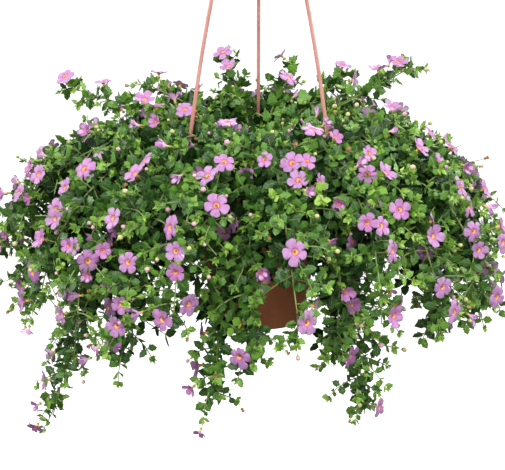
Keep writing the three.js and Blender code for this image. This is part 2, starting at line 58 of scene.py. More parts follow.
class Shade:
    """One output of a material's node, so that a sum or product of it adds the Math nodes."""

    def __init__(self, tree, socket=None):
        self.tree = tree
        self.socket = socket

    def node(self, kind, inputs=None, output=0, stops=(), **settings):
        """Adds a node: its settings and a ramp's stops first, then its sockets' values or links."""
        made = self.tree.nodes.new("ShaderNode" + kind)
        for key, value in settings.items():
            setattr(made, key, value)
        for count, (place, colour) in enumerate(stops):
            elements = made.color_ramp.elements
            element = elements[count] if count < 2 else elements.new(place)
            element.position = place
            element.color = (*colour, 1.0)
        for key, value in (inputs or {}).items():
            if isinstance(value, Shade):
                self.tree.links.new(value.socket, made.inputs[key])
            else:
                made.inputs[key].default_value = value
        return Shade(self.tree, made.outputs[output])

    def maths(self, operation, first, second=0.0):
        """One number out of two, or of the first alone, by the named operation."""
        return self.node("Math", {0: first, 1: second}, operation=operation)

    def __add__(self, other):
        return self.maths("ADD", self, other)

    def __sub__(self, other):
        return self.maths("SUBTRACT", self, other)

    def __rsub__(self, other):
        return self.maths("SUBTRACT", other, self)

    def __mul__(self, other):
        return self.maths("MULTIPLY", self, other)

    __radd__ = __add__
    __rmul__ = __mul__

    def step(self, low, high):
        """This value eased from 0 at low to 1 at high."""
        return self.node("MapRange", {0: self, 1: low, 2: high}, interpolation_type="SMOOTHSTEP")

    def ramp(self, *stops):
        """This value as a colour between the stops, each a place and a colour."""
        return self.node("ValToRGB", {0: self}, stops=stops)

    def mix(self, low, high):
        """The colours low and high, mixed by this value."""
        return self.node("Mix", {0: self, 6: low, 7: high}, output=2, data_type="RGBA")

    def place(self):
        """Where a point lies on the object, in metres."""
        return self.node("TexCoord", output="Object")

    def noise(self, scale, detail=3.0):
        """Cloudy noise between 0 and 1, on the object's own coordinates."""
        return self.node("TexNoise", {"Vector": self.place(), "Scale": scale, "Detail": detail})

    def tint(self):
        """The piece's own tint at a point, mostly between 0 and 1."""
        return self.node("Attribute", attribute_name="tint", output="Fac")

    def surface(self, axis):
        """The share around (0) or along (1) the surface, from the piece's own UV map."""
        uv = self.node("UVMap", uv_map="surface")
        return self.node("SeparateXYZ", {0: uv}, output=axis)


def new_material(name):
    """An empty node material, and a Shade that adds nodes to it."""
    material = bpy.data.materials.new(name)
    material.use_nodes = True
    material.node_tree.nodes.clear()
    return material, Shade(material.node_tree)


def finish(shade, colour, roughness, height, bump_strength=0.3, **constants):
    """Joins colour, roughness and bump height to the surface, and sets its constant sockets."""
    normal = shade.node("Bump", {"Height": height, "Strength": bump_strength, "Distance": METRE})
    inputs = {"Base Color": colour, "Roughness": roughness, "Normal": normal}
    inputs.update({name.replace("_", " "): value for name, value in constants.items()})
    skin = shade.node("BsdfPrincipled", inputs)
    shade.tree.links.new(skin.socket, shade.tree.nodes.new("ShaderNodeOutputMaterial").inputs["Surface"])


def around(azimuth, radius, height):
    """The point at an azimuth (0 is the front, 90 is +X), a radius and a height over the lip."""
    turn = np.radians(azimuth)
    return np.stack([radius * np.sin(turn), -radius * np.cos(turn), RIM_Z + height + 0 * turn], -1)


def skin_faces(rings, sides):
    """Triangles between neighbouring rings of points and from a single point at each end.

    Points are counted from the first end's, ring by ring, to the last end's.
    """
    side = np.arange(sides)
    following = (side + 1) % sides
    start = 1 + sides * np.arange(rings - 1)[:, None]
    low, low_next = start + side, start + following
    high, high_next = low + sides, low_next + sides
    walls = np.stack([low, low_next, high_next, low, high_next, high], -1).reshape(-1, 3)
    top = 1 + sides * (rings - 1)
    foot = np.stack([0 * side, 1 + following, 1 + side], -1)
    head = np.stack([0 * side + top + sides, top + side, top + following], -1)
    return np.vstack([foot, walls, head])


def skin_surface(rings, sides):
    """UV for each point of such a skin: its share around, and its share along from end to end."""
    along = np.repeat(np.linspace(0, 1, rings + 2)[1:-1], sides)
    middle = np.stack([np.tile(np.arange(sides) / sides, rings), along], -1)
    return np.vstack([[[0.0, 0.0]], middle, [[0.0, 1.0]]])


def turned(profile, sides):
    """A skin turned about Z: profile's [radius, z] rows, the first and last of them on the axis."""
    profile = np.asarray(profile, float)
    turn = 2 * np.pi * np.arange(sides) / sides
    radius, height = profile[1:-1, :1], profile[1:-1, 1:]
    ring = [radius * np.cos(turn), radius * np.sin(turn), height + 0 * turn]
    middle = np.stack(ring, -1).reshape(-1, 3)
    return np.vstack([[[0, 0, profile[0, 1]]], middle, [[0, 0, profile[-1, 1]]]])


def skin_part(points, rings, sides, tint=0, slot=0):
    """A skin's points with its triangles and UV, ready to sew."""
    return (points, skin_faces(rings, sides), skin_surface(rings, sides), tint, slot)


def turned_part(profile, sides):
    """A skin turned about Z, ready to sew."""
    return skin_part(turned(profile, sides), len(profile) - 2, sides)


def rounded(profile, radius, steps=3):
    """The profile with each corner between its ends replaced by points of a parabola.

    The parabola starts and ends at radius from the corner, or a third of a shorter side.
    """
    profile = np.asarray(profile, float)
    points = [profile[:1]]
    share = np.linspace(0, 1, steps + 1)[:, None]
    for before, corner, after in zip(profile, profile[1:], profile[2:]):
        gaps = [np.linalg.norm(before - corner), np.linalg.norm(after - corner)]
        start, end = [corner + (other - corner) * min(radius / gap, 1 / 3)
                      for other, gap in zip((before, after), gaps)]
        points.append((1 - share) ** 2 * start + 2 * share * (1 - share) * corner + share ** 2 * end)
    points.append(profile[-1:])
    return np.vstack(points)


def placed(name, data):
    """A new object of the data, linked into the scene."""
    made = bpy.data.objects.new(name, data)
    bpy.context.scene.collection.objects.link(made)
    return made


def sew(name, parts, materials, sharp=50):
    """One mesh object, in metres, of many parts, with an edge where faces meet above sharp degrees.

    A part is its copies' points (copy, point, 3), their shared triangles, their UV, a tint for
    each copy or each point, and the number of its material.
    """
    points, faces, uvs, tints, slots = [], [], [], [], []
    count = 0
    for copies, triangles, uv, tint, slot in parts:
        copies = np.asarray(copies, float).reshape(-1, np.shape(copies)[-2], 3)
        shapes, corners = copies.shape[:2]
        offset = count + corners * np.arange(shapes)[:, None, None]
        faces.append((triangles + offset).reshape(-1, 3))
        points.append(copies.reshape(-1, 3))
        uvs.append(np.broadcast_to(uv, (shapes, corners, 2)).reshape(-1, 2))
        tints.append(np.broadcast_to(np.asarray(tint, float), (shapes, corners)).ravel())
        slots.append(np.full(shapes * len(triangles), slot))
        count += shapes * corners
    faces = np.vstack(faces)
    mesh = bpy.data.meshes.new(name)
    mesh.vertices.add(count)
    mesh.vertices.foreach_set("co", (np.vstack(points) * METRE).ravel())
    mesh.loops.add(faces.size)
    mesh.loops.foreach_set("vertex_index", faces.ravel())
    mesh.polygons.add(len(faces))
    mesh.polygons.foreach_set("loop_start", np.arange(0, faces.size, 3))
    mesh.polygons.foreach_set("material_index", np.concatenate(slots))
    mesh.update(calc_edges=True)
    mesh.uv_layers.new(name="surface").uv.foreach_set("vector", np.vstack(uvs)[faces.ravel()].ravel())
    mesh.attributes.new("tint", "FLOAT", "POINT").data.foreach_set("value", np.concatenate(tints))
    mesh.shade_smooth()
    mesh.set_sharp_from_angle(angle=np.radians(sharp))
    for material in materials:
        mesh.materials.append(material)
    return placed(name, mesh)


def pot_plastic():
    """Matt brown-red plastic: cloudy tone, fine turned rings, dried splashes below the lip."""
    material, shade = new_material("pot_plastic")
    cloud = shade.noise(14.0)
    fine = shade.noise(420.0, 2.0)
    low, high = (0.225, 0.069, 0.023, 1), (0.285, 0.096, 0.037, 1)
    splash = shade.noise(60.0, 5.0).step(0.58, 0.72)
    colour = (splash * 0.22).mix(cloud.step(0.3, 0.7).mix(low, high), (0.34, 0.20, 0.14, 1))
    place = shade.node("SeparateXYZ", {0: shade.place()}, output=2)
    rings = shade.maths("SINE", place * 3200.0)
    roughness = 0.5 + 0.2 * cloud + 0.15 * splash
    finish(shade, colour, roughness, 0.15 * rings + 0.4 * fine, 0.2, Specular_IOR_Level=0.25)
    return material


def wall_radius(height):
    """The radius of the pot's outer wall at a height over the lip."""
    return np.interp(height, [-POT_HEIGHT, -LIP_DEPTH], [POT_BASE_RADIUS, POT_TOP_RADIUS])


floor_height = POT_FLOOR - POT_HEIGHT
pot_profile = [
    [0, RIM_Z - POT_HEIGHT], [POT_BASE_RADIUS, RIM_Z - POT_HEIGHT],
    [POT_TOP_RADIUS, RIM_Z - LIP_DEPTH], [LIP_RADIUS, RIM_Z - LIP_DEPTH], [LIP_RADIUS, RIM_Z],
    [POT_TOP_RADIUS - POT_WALL, RIM_Z], [POT_TOP_RADIUS - POT_WALL, RIM_Z - LIP_DEPTH],
    [wall_radius(floor_height) - POT_WALL, RIM_Z + floor_height], [0, RIM_Z + floor_height],
]
pot_part = turned_part(rounded(pot_profile, EDGE_ROUNDING), POT_SIDES)
pot = sew("hanging_pot", [pot_part], [pot_plastic()], sharp=30)

# The drainage holes are cut out with four short rods through the floor.
rod_end = 2 * POT_FLOOR
drain_profile = [[0, -rod_end], [DRAIN_RADIUS, -rod_end], [DRAIN_RADIUS, rod_end], [0, rod_end]]
drain_places = around(np.array(DRAIN_AZIMUTHS), DRAIN_RING, -POT_HEIGHT)
drains = turned(drain_profile, DRAIN_SIDES) + drain_places[:, None]
cutter = sew("drain_cutter", [skin_part(drains, 2, DRAIN_SIDES)], [pot_plastic()])
cut = pot.modifiers.new("drains", "BOOLEAN")
cut.object = cutter
cut.solver = "EXACT"
bpy.context.view_layer.update()
drained = bpy.data.meshes.new_from_object(pot.evaluated_get(bpy.context.evaluated_depsgraph_get()))
pot.modifiers.clear()
pot.data = drained
bpy.data.objects.remove(cutter)
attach(pot, "root")
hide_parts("pot")

# The soil: dark peat with bark crumbs and a few white perlite grains, poured in to just
# under the lip. Its top is heaped and crumbly, its side keeps clear of the pot's wall.
SOIL_DROP = 14.0
SOIL_CLEARANCE = 0.4
SOIL_CHAMFER = 2.0
SOIL_SHOULDER = 4.0
SOIL_SIDES = 120
SOIL_RINGS = 44
CRUMB_SEED = 5
CRUMB_HEIGHT = 0.35
SWELLS = 14
SWELL_HEIGHT = 0.28
SWELL_SLOPE = 0.16


def soil_mix():
    """Dark crumbs with paler bark and white grains, rough all over."""
    material, shade = new_material("peat")
    crumbs = shade.node("TexVoronoi", {"Vector": shade.place(), "Scale": 260.0}, output="Color")
    grain = shade.node("SeparateXYZ", {0: crumbs}, output=0)
    peat = grain.ramp(
        (0.0, (0.012, 0.008, 0.005)), (0.6, (0.045, 0.028, 0.017)), (1.0, (0.13, 0.08, 0.045)))
    colour = grain.step(0.965, 0.975).mix(peat, (0.62, 0.60, 0.55, 1))
    finish(shade, colour, 0.85 + 0.1 * grain, grain + shade.noise(500.0), 0.8)
    return material


def inside_radius(height):
    """The radius of the pot's inner wall at a height over the lip."""
    return wall_radius(height) - POT_WALL - SOIL_CLEARANCE


soil_foot = floor_height + SOIL_CLEARANCE
side_heights = np.array([soil_foot, soil_foot + SOIL_CHAMFER, -SOIL_DROP - SOIL_SHOULDER])
side_radii = inside_radius(side_heights) - [SOIL_CHAMFER, 0, 0]
side_rows = np.stack([side_radii, RIM_Z + side_heights], -1)
top_radii = np.linspace(inside_radius(-SOIL_DROP) - 1, 1, SOIL_RINGS)
top_rows = np.stack([top_radii, 0 * top_radii + RIM_Z - SOIL_DROP], -1)
soil_profile = np.vstack([[[0, RIM_Z + soil_foot]], side_rows, top_rows, [[0, RIM_Z - SOIL_DROP]]])
soil_points = turned(soil_profile, SOIL_SIDES)
crumb_rng = np.random.default_rng(CRUMB_SEED)
on_top = soil_points[:, 2] > RIM_Z - SOIL_DROP - 0.1
waves = crumb_rng.normal(size=(SWELLS, 2)) * SWELL_SLOPE
phases = crumb_rng.uniform(0, 2 * np.pi, SWELLS)
swell = np.sin(soil_points[:, :2] @ waves.T + phases).sum(1) * SWELL_HEIGHT
soil_points[:, 2] += on_top * (swell + crumb_rng.normal(size=len(soil_points)) * CRUMB_HEIGHT)
soil_part = skin_part(soil_points, len(soil_profile) - 2, SOIL_SIDES)
soil = sew("potting_soil", [soil_part], [soil_mix()], sharp=70)
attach(soil, "root")
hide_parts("soil")

# The hanger: one moulding of pink-brown plastic. An open hook ring stands on a small hub,
# three bowed round arms run down from it, and each arm ends in a claw that grips under
# the pot's lip and a short finger tab outside it.
ROD_RADIUS = 2.25
ROD_SIDES = 16
HOOK_BEND = 12.25
HOOK_MIDDLE_Z = -10.0
HOOK_SHANK = [[0, 0, -42], [-1, 0, -30], [-7, 0, -21.5]]
HOOK_RING_ANGLES = range(195, -16, -30)
HUB_PROFILE = [[0, -60], [6.3, -58], [9, -52], [5.4, -40], [3.25, -36], [0, -36]]
HUB_ROUNDING = 3.0
HUB_SIDES = 32
ARM_HEIGHT = 389.0
ARM_TOP_RADIUS = 5.0
ARM_FOOT_RADIUS = 95.65
ARM_BOW = 9.2
ARM_AZIMUTHS = [-60, 60, 180]
CLAW_ROWS = [[95.65, 3], [95.65, -8], [94.45, -12.2], [89.65, -13]]
CLAW_RADIUS = 0.95 * ROD_RADIUS
TAB_ROWS = [[95.65, 2], [99.65, -2.5], [103.65, -7]]
TAB_RADII = [1.9, 1.8, 1.6]


def unit(vectors):
    """The vectors at length 1."""
    return vectors / np.linalg.norm(vectors, axis=-1, keepdims=True)


def smooth_path(points, steps):
    """Points along a curve through the given ones, steps for each stretch.

    On each stretch a cubic whose slope at an inner point is that of the chord between its
    two neighbours, and at an end that of the stretch itself.
    """
    points = np.asarray(points, float)
    slopes = np.gradient(points, axis=0)
    share = np.linspace(0, 1, steps, endpoint=False)[:, None, None]
    start, end, leave, arrive = points[:-1], points[1:], slopes[:-1], slopes[1:]
    curve = ((2 * share ** 3 - 3 * share ** 2 + 1) * start + (3 * share ** 2 - 2 * share ** 3) * end
             + (share ** 3 - 2 * share ** 2 + share) * leave + (share ** 3 - share ** 2) * arrive)
    return np.vstack([curve.transpose(1, 0, 2).reshape(-1, 3), points[-1:]])


def tubes(paths, radii, across, sides):
    """Round tubes along paths (copy, point, 3), closed by a blunt point at each end.

    Every point of a path has a ring of the given radius square to the path. across is a
    direction that is never along the path. The ends stand half a radius off the last ring.
    """
    paths = np.asarray(paths, float).reshape(-1, np.shape(paths)[-2], 3)
    radii = np.broadcast_to(radii, paths.shape[:2])
    along = unit(np.gradient(paths, axis=1))
    up = unit(np.cross(along, np.broadcast_to(across, paths.shape)))
    side = np.cross(up, along)
    turn = 2 * np.pi * np.arange(sides) / sides
    spread = side[:, :, None] * np.cos(turn)[:, None] + up[:, :, None] * np.sin(turn)[:, None]
    rings = paths[:, :, None] + spread * radii[:, :, None, None]
    foot = paths[:, :1] - along[:, :1] * 0.5 * radii[:, :1, None]
    head = paths[:, -1:] + along[:, -1:] * 0.5 * radii[:, -1:, None]
    return np.concatenate([foot, rings.reshape(len(paths), -1, 3), head], axis=1)


def tube_part(paths, radii, across, sides, tint=0, slot=0):
    """The tubes with their triangles and UV, ready to sew."""
    return skin_part(tubes(paths, radii, across, sides), np.shape(paths)[-2], sides, tint, slot)


def hanger_plastic():
    """Pink-brown plastic: a slow change of tone, a faint grain and small scuffs."""
    material, shade = new_material("hanger_plastic")
    cloud = shade.noise(30.0)
    scuff = shade.noise(240.0, 5.0).step(0.60, 0.75)
    tone = cloud.step(0.3, 0.7).mix((0.41, 0.165, 0.130, 1), (0.49, 0.218, 0.183, 1))
    colour = (scuff * 0.25).mix(tone, (0.60, 0.37, 0.34, 1))
    finish(shade, colour, 0.36 + 0.16 * cloud + 0.2 * scuff, shade.noise(700.0, 2.0) + scuff, 0.15)
    return material


def arm_path(azimuth, steps=40):
    """An arm's middle line: straight from hub to lip, plus a parabola that bows it outwards."""
    share = np.linspace(0, 1, steps + 1)
    radius = ARM_TOP_RADIUS + (ARM_FOOT_RADIUS - ARM_TOP_RADIUS) * share
    return around(azimuth + 0 * share, radius + ARM_BOW * 4 * share * (1 - share), ARM_HEIGHT * (1 - share))


ring_turn = np.radians(np.array(HOOK_RING_ANGLES))
hook_ring = np.stack([np.cos(ring_turn), 0 * ring_turn, np.sin(ring_turn)], -1) * HOOK_BEND
hook_points = np.vstack([HOOK_SHANK, hook_ring + [0, 0, HOOK_MIDDLE_Z]])
hanger_parts = [
    tube_part(smooth_path(hook_points, 6), ROD_RADIUS, [0, 1, 0], ROD_SIDES),
    turned_part(rounded(HUB_PROFILE, HUB_ROUNDING, 5), HUB_SIDES),
]
for azimuth in ARM_AZIMUTHS:
    sideways = around(azimuth + 90, 1, -RIM_Z)
    claw = np.array([around(azimuth, *row) for row in CLAW_ROWS])
    tab = np.array([around(azimuth, *row) for row in TAB_ROWS])
    hanger_parts.append(tube_part(arm_path(azimuth), ROD_RADIUS, sideways, ROD_SIDES))
    hanger_parts.append(tube_part(smooth_path(claw, 6), CLAW_RADIUS, sideways, ROD_SIDES))
    hanger_parts.append(tube_part(tab, TAB_RADII, sideways, ROD_SIDES))
hanger = sew("pot_hanger", hanger_parts, [hanger_plastic()], sharp=40)
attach(hanger, "root")
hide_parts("hanger")

# The leafy stems: each stands in its own hole in the soil, arches over the lip and hangs,
# with crosswise pairs of small toothed leaves, side twigs that end in pale young leaves,
# lilac-pink blooms on thin stalks, round buds and a few withered blooms.
SEED = 20731
SEED_STEP = 7919
SWAY = 14.0
STEM_START = -12.0
ROOT_FOOT = -23.6
BARE_STEPS = 3
MOUND_MIDDLE = np.array([0, 0, RIM_Z - 70])

# Trailing stems whose tips hang lower than LONG_TRAIL have one leaf pair more and bend
# down over the lip at LONG_BEND of their reach, to the height LONG_SAG.
LONG_TRAIL = -240
LONG_BEND = 0.78
LONG_SAG = -44

# The solid stems' leaves and blooms were tried in several places. This section tries the
# same ones, and a place counts where a corner of the solid is as near as SAME_PLACE. A
# leaf's fits are shares of its size and further turns in degrees.
LEAF_FITS = [[1, 0], [1, 35], [1, -35], [0.85, 0], [0.85, 60], [0.7, 20], [0.6, -20]]
FACE_TURN = 0.75
BLOOM_TRIES = 12
BLOOM_REACH = 22.0
THROAT_REACH = 19.6
SAME_PLACE = 0.5

# Each storey has the ring that its stems stand on, its leaf pairs and their spacing, its
# blooms, how high its stems arch (more so behind), and where they bend over. Each tip has
# an azimuth, a reach and a height over the lip, and one that hangs askew also how far round
# from it the root stands.
STOREYS = [
    {
        "name": "trailing", "ring": 66, "pairs": 4, "spacing": 58, "leaf": 43, "blooms": 3,
        "arch": (79, 0),
        "shoulder": lambda reach, height, back: (
            (LONG_BEND * reach, LONG_SAG) if height < LONG_TRAIL else (reach + 10, 16 + 11 * back)),
        "tips": [
            (-4, 205, -205), (-16, 200, -250, 6), (-42, 222, -218), (-67, 262, -296, 16), (-89, 278, -200),
            (-111, 270, -190), (-135, 262, -235), (-162, 256, -200), (171, 256, -245), (144, 256, -205),
            (119, 268, -235), (97, 266, -200), (76, 262, -190), (56, 235, -190), (35, 205, -272),
            (24, 200, -212),
        ],
    },
    {
        "name": "hanging", "ring": 52, "pairs": 3, "spacing": 62, "leaf": 43, "blooms": 4,
        "arch": (50, 26),
        "shoulder": lambda reach, height, back: (0.93 * reach, 18 + 12 * back),
        "tips": [
            (9, 258, -150), (-20, 260, -150), (-33, 266, -170), (-46, 272, -165), (-60, 284, -160, 9),
            (-80, 300, -118), (-101, 306, -100), (-124, 290, -150), (-149, 278, -165), (-175, 270, -150),
            (157, 276, -160), (131, 288, -150), (107, 290, -140), (86, 284, -120), (66, 284, -165),
            (47, 268, -160), (29, 262, -150),
        ],
    },
    {
        "name": "shoulder", "ring": 34, "pairs": 3, "spacing": 52, "leaf": 38, "blooms": 4,
        "arch": (38, 24),
        "shoulder": lambda reach, height, back: (0.78 * reach, 24 + 50 * back),
        "tips": [
            (-12, 224, -58), (-38, 236, -62), (-64, 250, -66), (-94, 252, -66), (-117, 242, -54),
            (-141, 236, -18), (-168, 218, -4), (166, 220, -8), (142, 238, -20), (116, 252, -42),
            (92, 260, -56), (68, 250, -62), (40, 238, -64), (14, 226, -62),
        ],
    },
    {
        "name": "crown", "ring": 20, "pairs": 3, "spacing": 40, "leaf": 33, "blooms": 2,
        "arch": (30, 12),
        "shoulder": lambda reach, height, back: (0.7 * reach, 0.5 * height + 10),
        "tips": [
            (-106, 250, 74), (-131, 200, 74), (-163, 142, 110), (163, 160, 96), (139, 180, 90),
            (112, 212, 100), (78, 176, 40), (27, 132, 20), (-22, 110, 26), (-84, 156, 52),
        ],
    },
]


def draws_from(seed):
    """Repeatable draws between 0 and 1, from which the solid stems were set out too."""
    state = seed
    while True:
        state = (state * 1664525 + 1013904223) % 4294967296
        yield state / 4294967296


def cubic(points, share):
    """The curve of four control points at each share: their blend by the cubic Bernstein weights."""
    share = np.asarray(share, float)[..., None]
    rest = 1 - share
    return (rest ** 3 * points[0] + 3 * rest ** 2 * share * points[1]
            + 3 * rest * share ** 2 * points[2] + share ** 3 * points[3])


def nearest(points, others):
    """How far each of the points is from the nearest of the others."""
    return np.linalg.norm(points[:, None] - others, axis=-1).min(axis=1)


def across_from(axis, vectors):
    """The unit vectors left of vectors once their share along axis is taken away."""
    return unit(vectors - (vectors * axis).sum(-1, keepdims=True) * axis)


class Stem:
    """One stem's middle line, its joints, its solid's leaf tips, and its blooms.

    The line is a cubic curve of four points: its start in the soil, one high over it, the
    shoulder where it bends over, both swayed a little about the pot's axis, and its tip.
    """

    def __init__(self, storey, tip, draw, solid):
        azimuth, reach, height = tip[:3]
        root_azimuth = azimuth + sum(tip[3:])
        back = (1 - np.cos(np.radians(azimuth))) / 2
        low_sway = 0.4 * SWAY * (next(draw) - 0.5)
        high_sway = SWAY * (next(draw) - 0.5)
        arch = storey["arch"][0] + storey["arch"][1] * back
        self.control = np.array([
            around(root_azimuth, storey["ring"], STEM_START),
            around(root_azimuth + low_sway, 1.3 * storey["ring"] + 6, arch),
            around((azimuth + root_azimuth) / 2 + high_sway, *storey["shoulder"](reach, height, back)),
            around(azimuth, reach, height),
        ])
        self.shares = np.linspace(0, 1, 201)
        steps = np.linalg.norm(np.diff(cubic(self.control, self.shares), axis=0), axis=1)
        self.lengths = np.append(0, np.cumsum(steps))
        self.length = self.lengths[-1]
        self.flat = around(azimuth + 90, 1, -RIM_Z)
        self.set_joints(storey, tip)
        self.set_leaves(storey["leaf"], draw, solid)
        self.set_blooms(storey, draw, solid)

    def at(self, distance):
        """Points of the middle line at distances from its start."""
        return cubic(self.control, np.interp(distance, self.lengths, self.shares))

    def along(self, distance):
        """The middle line's direction at those distances."""
        return unit(self.at(np.add(distance, 1)) - self.at(np.subtract(distance, 1)))

    def set_joints(self, storey, tip):
        """The root's foot, the bare joints, then one joint for each pair back from the tip."""
        pairs = storey["pairs"] + (1 if tip[2] < LONG_TRAIL else 0)
        spacing = min(storey["spacing"], self.length / (pairs + 1))
        bare_length = self.length - spacing * (pairs - 0.7)
        bare = bare_length * np.arange(BARE_STEPS) / BARE_STEPS
        self.leafy = self.length - spacing * np.arange(pairs - 1, -1, -1)
        foot = around(tip[0] + sum(tip[3:]), storey["ring"], ROOT_FOOT)
        points = np.vstack([foot, self.at(bare), self.at(self.leafy)])
        last = len(points) - 1
        number = np.arange(last + 1)
        self.joints = points
        self.joint_along = unit(points[np.minimum(number + 1, last)] - points[np.maximum(number - 1, 0)])
        self.joint_across = across_from(self.joint_along, self.flat + 0 * points)
        self.joint_up = unit(np.cross(self.joint_along, self.joint_across))

    def set_leaves(self, full, draw, solid):
        """The two tips of each joint's solid leaf pair, for the fit that the solid shows.

        A tip is at its leaf's length and roll about the stem, in the plane of the ways out and
        to the side, turned by FACE_TURN about the latter, and leans forwards along the stem.
        Three draws at each joint are for the leaf's form and are passed over.
        """
        turn = 2 * np.pi * next(draw)
        self.leaf_joints, self.leaf_tips = [], []
        for number, joint in enumerate(self.joints):
            nudge, size, lean = next(draw), 0.86 + 0.28 * next(draw), 0.15 + 0.3 * next(draw)
            for _ in range(3):
                next(draw)
            if number <= BARE_STEPS:
                continue
            last = number == len(self.joints) - 1
            outward = joint - MOUND_MIDDLE
            along, across, up = self.joint_along[number], self.joint_across[number], self.joint_up[number]
            out_angle = np.arctan2(outward @ up, outward @ across)
            out = across * np.cos(out_angle) + up * np.sin(out_angle)
            side = up * np.cos(out_angle) - across * np.sin(out_angle)
            way = 1 if along[2] > -0.2 else -1
            for shrink, angle in LEAF_FITS:
                length = full * size * (0.6 if last else 1) * shrink
                roll = turn + np.radians(90 * number + 30 * nudge + angle) - out_angle
                roll = roll + np.array([0, np.pi])
                reach = (length * np.cos(roll))[:, None]
                tips = (joint + out * reach * np.cos(FACE_TURN) + side * (length * np.sin(roll))[:, None]
                        + along * (lean * length * 0.45 - way * reach * np.sin(FACE_TURN)))
                if nearest(tips, solid).max() < SAME_PLACE:
                    self.leaf_joints.append(self.leafy[number - BARE_STEPS - 1])
                    self.leaf_tips.append(tips)
                    break

    def set_blooms(self, storey, draw, solid):
        """Each bloom's root, facing and roll, for the try that the solid shows.

        The root is on the chord between two joints. The bloom faces outwards there, swung
        about the stem by a random angle that grows with the tries, and a little forwards.
        """
        points = self.joints[BARE_STEPS + 1:]
        self.blooms = []
        for number in range(storey["blooms"]):
            place = (number + 0.25 + 0.5 * next(draw)) / storey["blooms"] * (len(points) - 1)
            tries = [(next(draw) - 0.5, next(draw) - 0.5, next(draw)) for _ in range(BLOOM_TRIES)]
            for attempt, (swing, slide, spin) in enumerate(tries):
                where = np.clip(place + (slide if attempt else 0), 0.12, len(points) - 1.12)
                segment = int(where)
                share = np.clip(where - segment, 0.22, 0.78)
                chord = points[segment + 1] - points[segment]
                root = points[segment] + share * chord
                axis = unit(chord)
                outward = across_from(axis, unit(root - MOUND_MIDDLE))
                angle = swing * (1.2 + 0.3 * attempt)
                facing = outward * np.cos(angle) + np.cross(axis, outward) * np.sin(angle)
                facing = unit(facing + 0.25 * axis)
                throat = root + THROAT_REACH * facing
                if np.linalg.norm(solid - throat, axis=1).min() < SAME_PLACE:
                    self.blooms.append((root, facing, 2 * np.pi * spin))
                    break


def solid_points(name):
    """The corners of a solid of the frame, in millimetres."""
    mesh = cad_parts[name].data
    points = np.empty(3 * len(mesh.vertices))
    mesh.vertices.foreach_get("co", points)
    return points.reshape(-1, 3) / METRE


stems = []
for storey in STOREYS:
    for number, tip in enumerate(storey["tips"], 1):
        node = f"{storey['name']}_stem_{number:02d}"
        stem = Stem(storey, tip, draws_from(SEED + SEED_STEP * len(stems)), solid_points(node))
        stem.name, stem.node, stem.storey = f"{storey['name']}_spray_{number:02d}", node, storey["name"]
        stems.append(stem)

bloom_roots, bloom_facings = (
    np.array([bloom[part] for stem in stems for bloom in stem.blooms]) for part in (0, 1))
bloom_faces = bloom_roots + BLOOM_REACH * bloom_facings
arm_points = np.vstack([arm_path(azimuth, 80) for azimuth in ARM_AZIMUTHS])

# A blade is a thin closed shell, a flat three-sided profile carried along it: the midrib,
# the right edge and the left edge a little lower. Each row of an outline is the share
# along the blade and the half width there. The rows zigzag at the teeth.
BIG_LEAF = [
    (0.05, 0.045), (0.17, 0.10), (0.35, 0.41), (0.43, 0.31), (0.57, 0.37), (0.65, 0.25), (0.78, 0.25),
]
SMALL_LEAF = [(0.12, 0.08), (0.36, 0.39), (0.47, 0.28), (0.65, 0.31)]
YOUNG_LEAF = [(0.34, 0.26), (0.58, 0.14)]
INNER_LEAF = [(0.30, 0.36), (0.66, 0.30)]
BLADE_FOLD = 0.34


def blade(rows):
    """A blade one unit long along Y, its upper face towards +Z: points, triangles and UV.

    The UV's first share is 0 on the midrib and 1 at an edge, the second runs along the blade.
    """
    along, half = np.array(rows).T
    midrib = np.stack([0 * half, along, 0 * half], -1)
    right = np.stack([half, along, -BLADE_FOLD * half], -1)
    middle = np.stack([midrib, right, right * [-1, 1, 1]], 1).reshape(-1, 3)
    points = np.vstack([[[0, 0, 0]], middle, [[0, 1, -0.02]]])
    uv = np.stack([np.tile([0, 1, 1], len(rows)), np.repeat(along, 3)], -1)
    return points, skin_faces(len(rows), 3), np.vstack([[[0, 0]], uv, [[1, 1]]])


def set_blades(template, base, direction, normal, length, width, curl):
    """Copies of a blade: base + length times (across, along, up), sunk by curl times along squared."""
    points = np.repeat(template[None], len(base), axis=0)
    points[:, :, 0] *= width[:, None]
    points[:, :, 2] -= curl[:, None] * points[:, :, 1] ** 2
    side = np.cross(direction, normal)
    axes = np.stack([side, direction, normal], axis=1) * length[:, None, None]
    return base[:, None] + points @ axes


# A bloom is one closed skin about its axis: from the calyx out along the tube and the
# petals' backs to their edge, then in over their faces to the rim and floor of the throat.
# Each row is the radius and height as shares of the petals' length, and how deep the
# notches between the petals cut there. An edge is angles across a petal with its length there.
PETALS = 5
TUBE_LENGTH = 0.66
THROAT_DEPTH = 0.32
PETAL_EDGE = [
    (-35.5, 0.50), (-32.5, 0.78), (-26, 0.92), (-13, 1.0), (0, 0.985),
    (13, 1.0), (26, 0.92), (32.5, 0.78), (35.5, 0.50),
]
BLOOM_ROWS = [
    (0.09, -0.62, 0), (0.15, -0.16, 0), (0.62, -0.06, 0.9), (1.0, 0.0, 1.0),
    (0.85, 0.03, 0.98), (0.50, 0.01, 0.75), (0.25, -0.03, 0.15), (0.14, -0.24, 0),
]
YOUNG_EDGE = [(-35, 0.5), (-30, 0.85), (-16, 0.98), (0, 1.0), (16, 0.98), (30, 0.85), (35, 0.5)]
YOUNG_ROWS = [
    (0.12, -0.62, 0), (0.18, -0.16, 0), (1.0, 0.0, 1.0),
    (0.60, 0.02, 0.7), (0.24, -0.03, 0.1), (0.13, -0.24, 0),
]


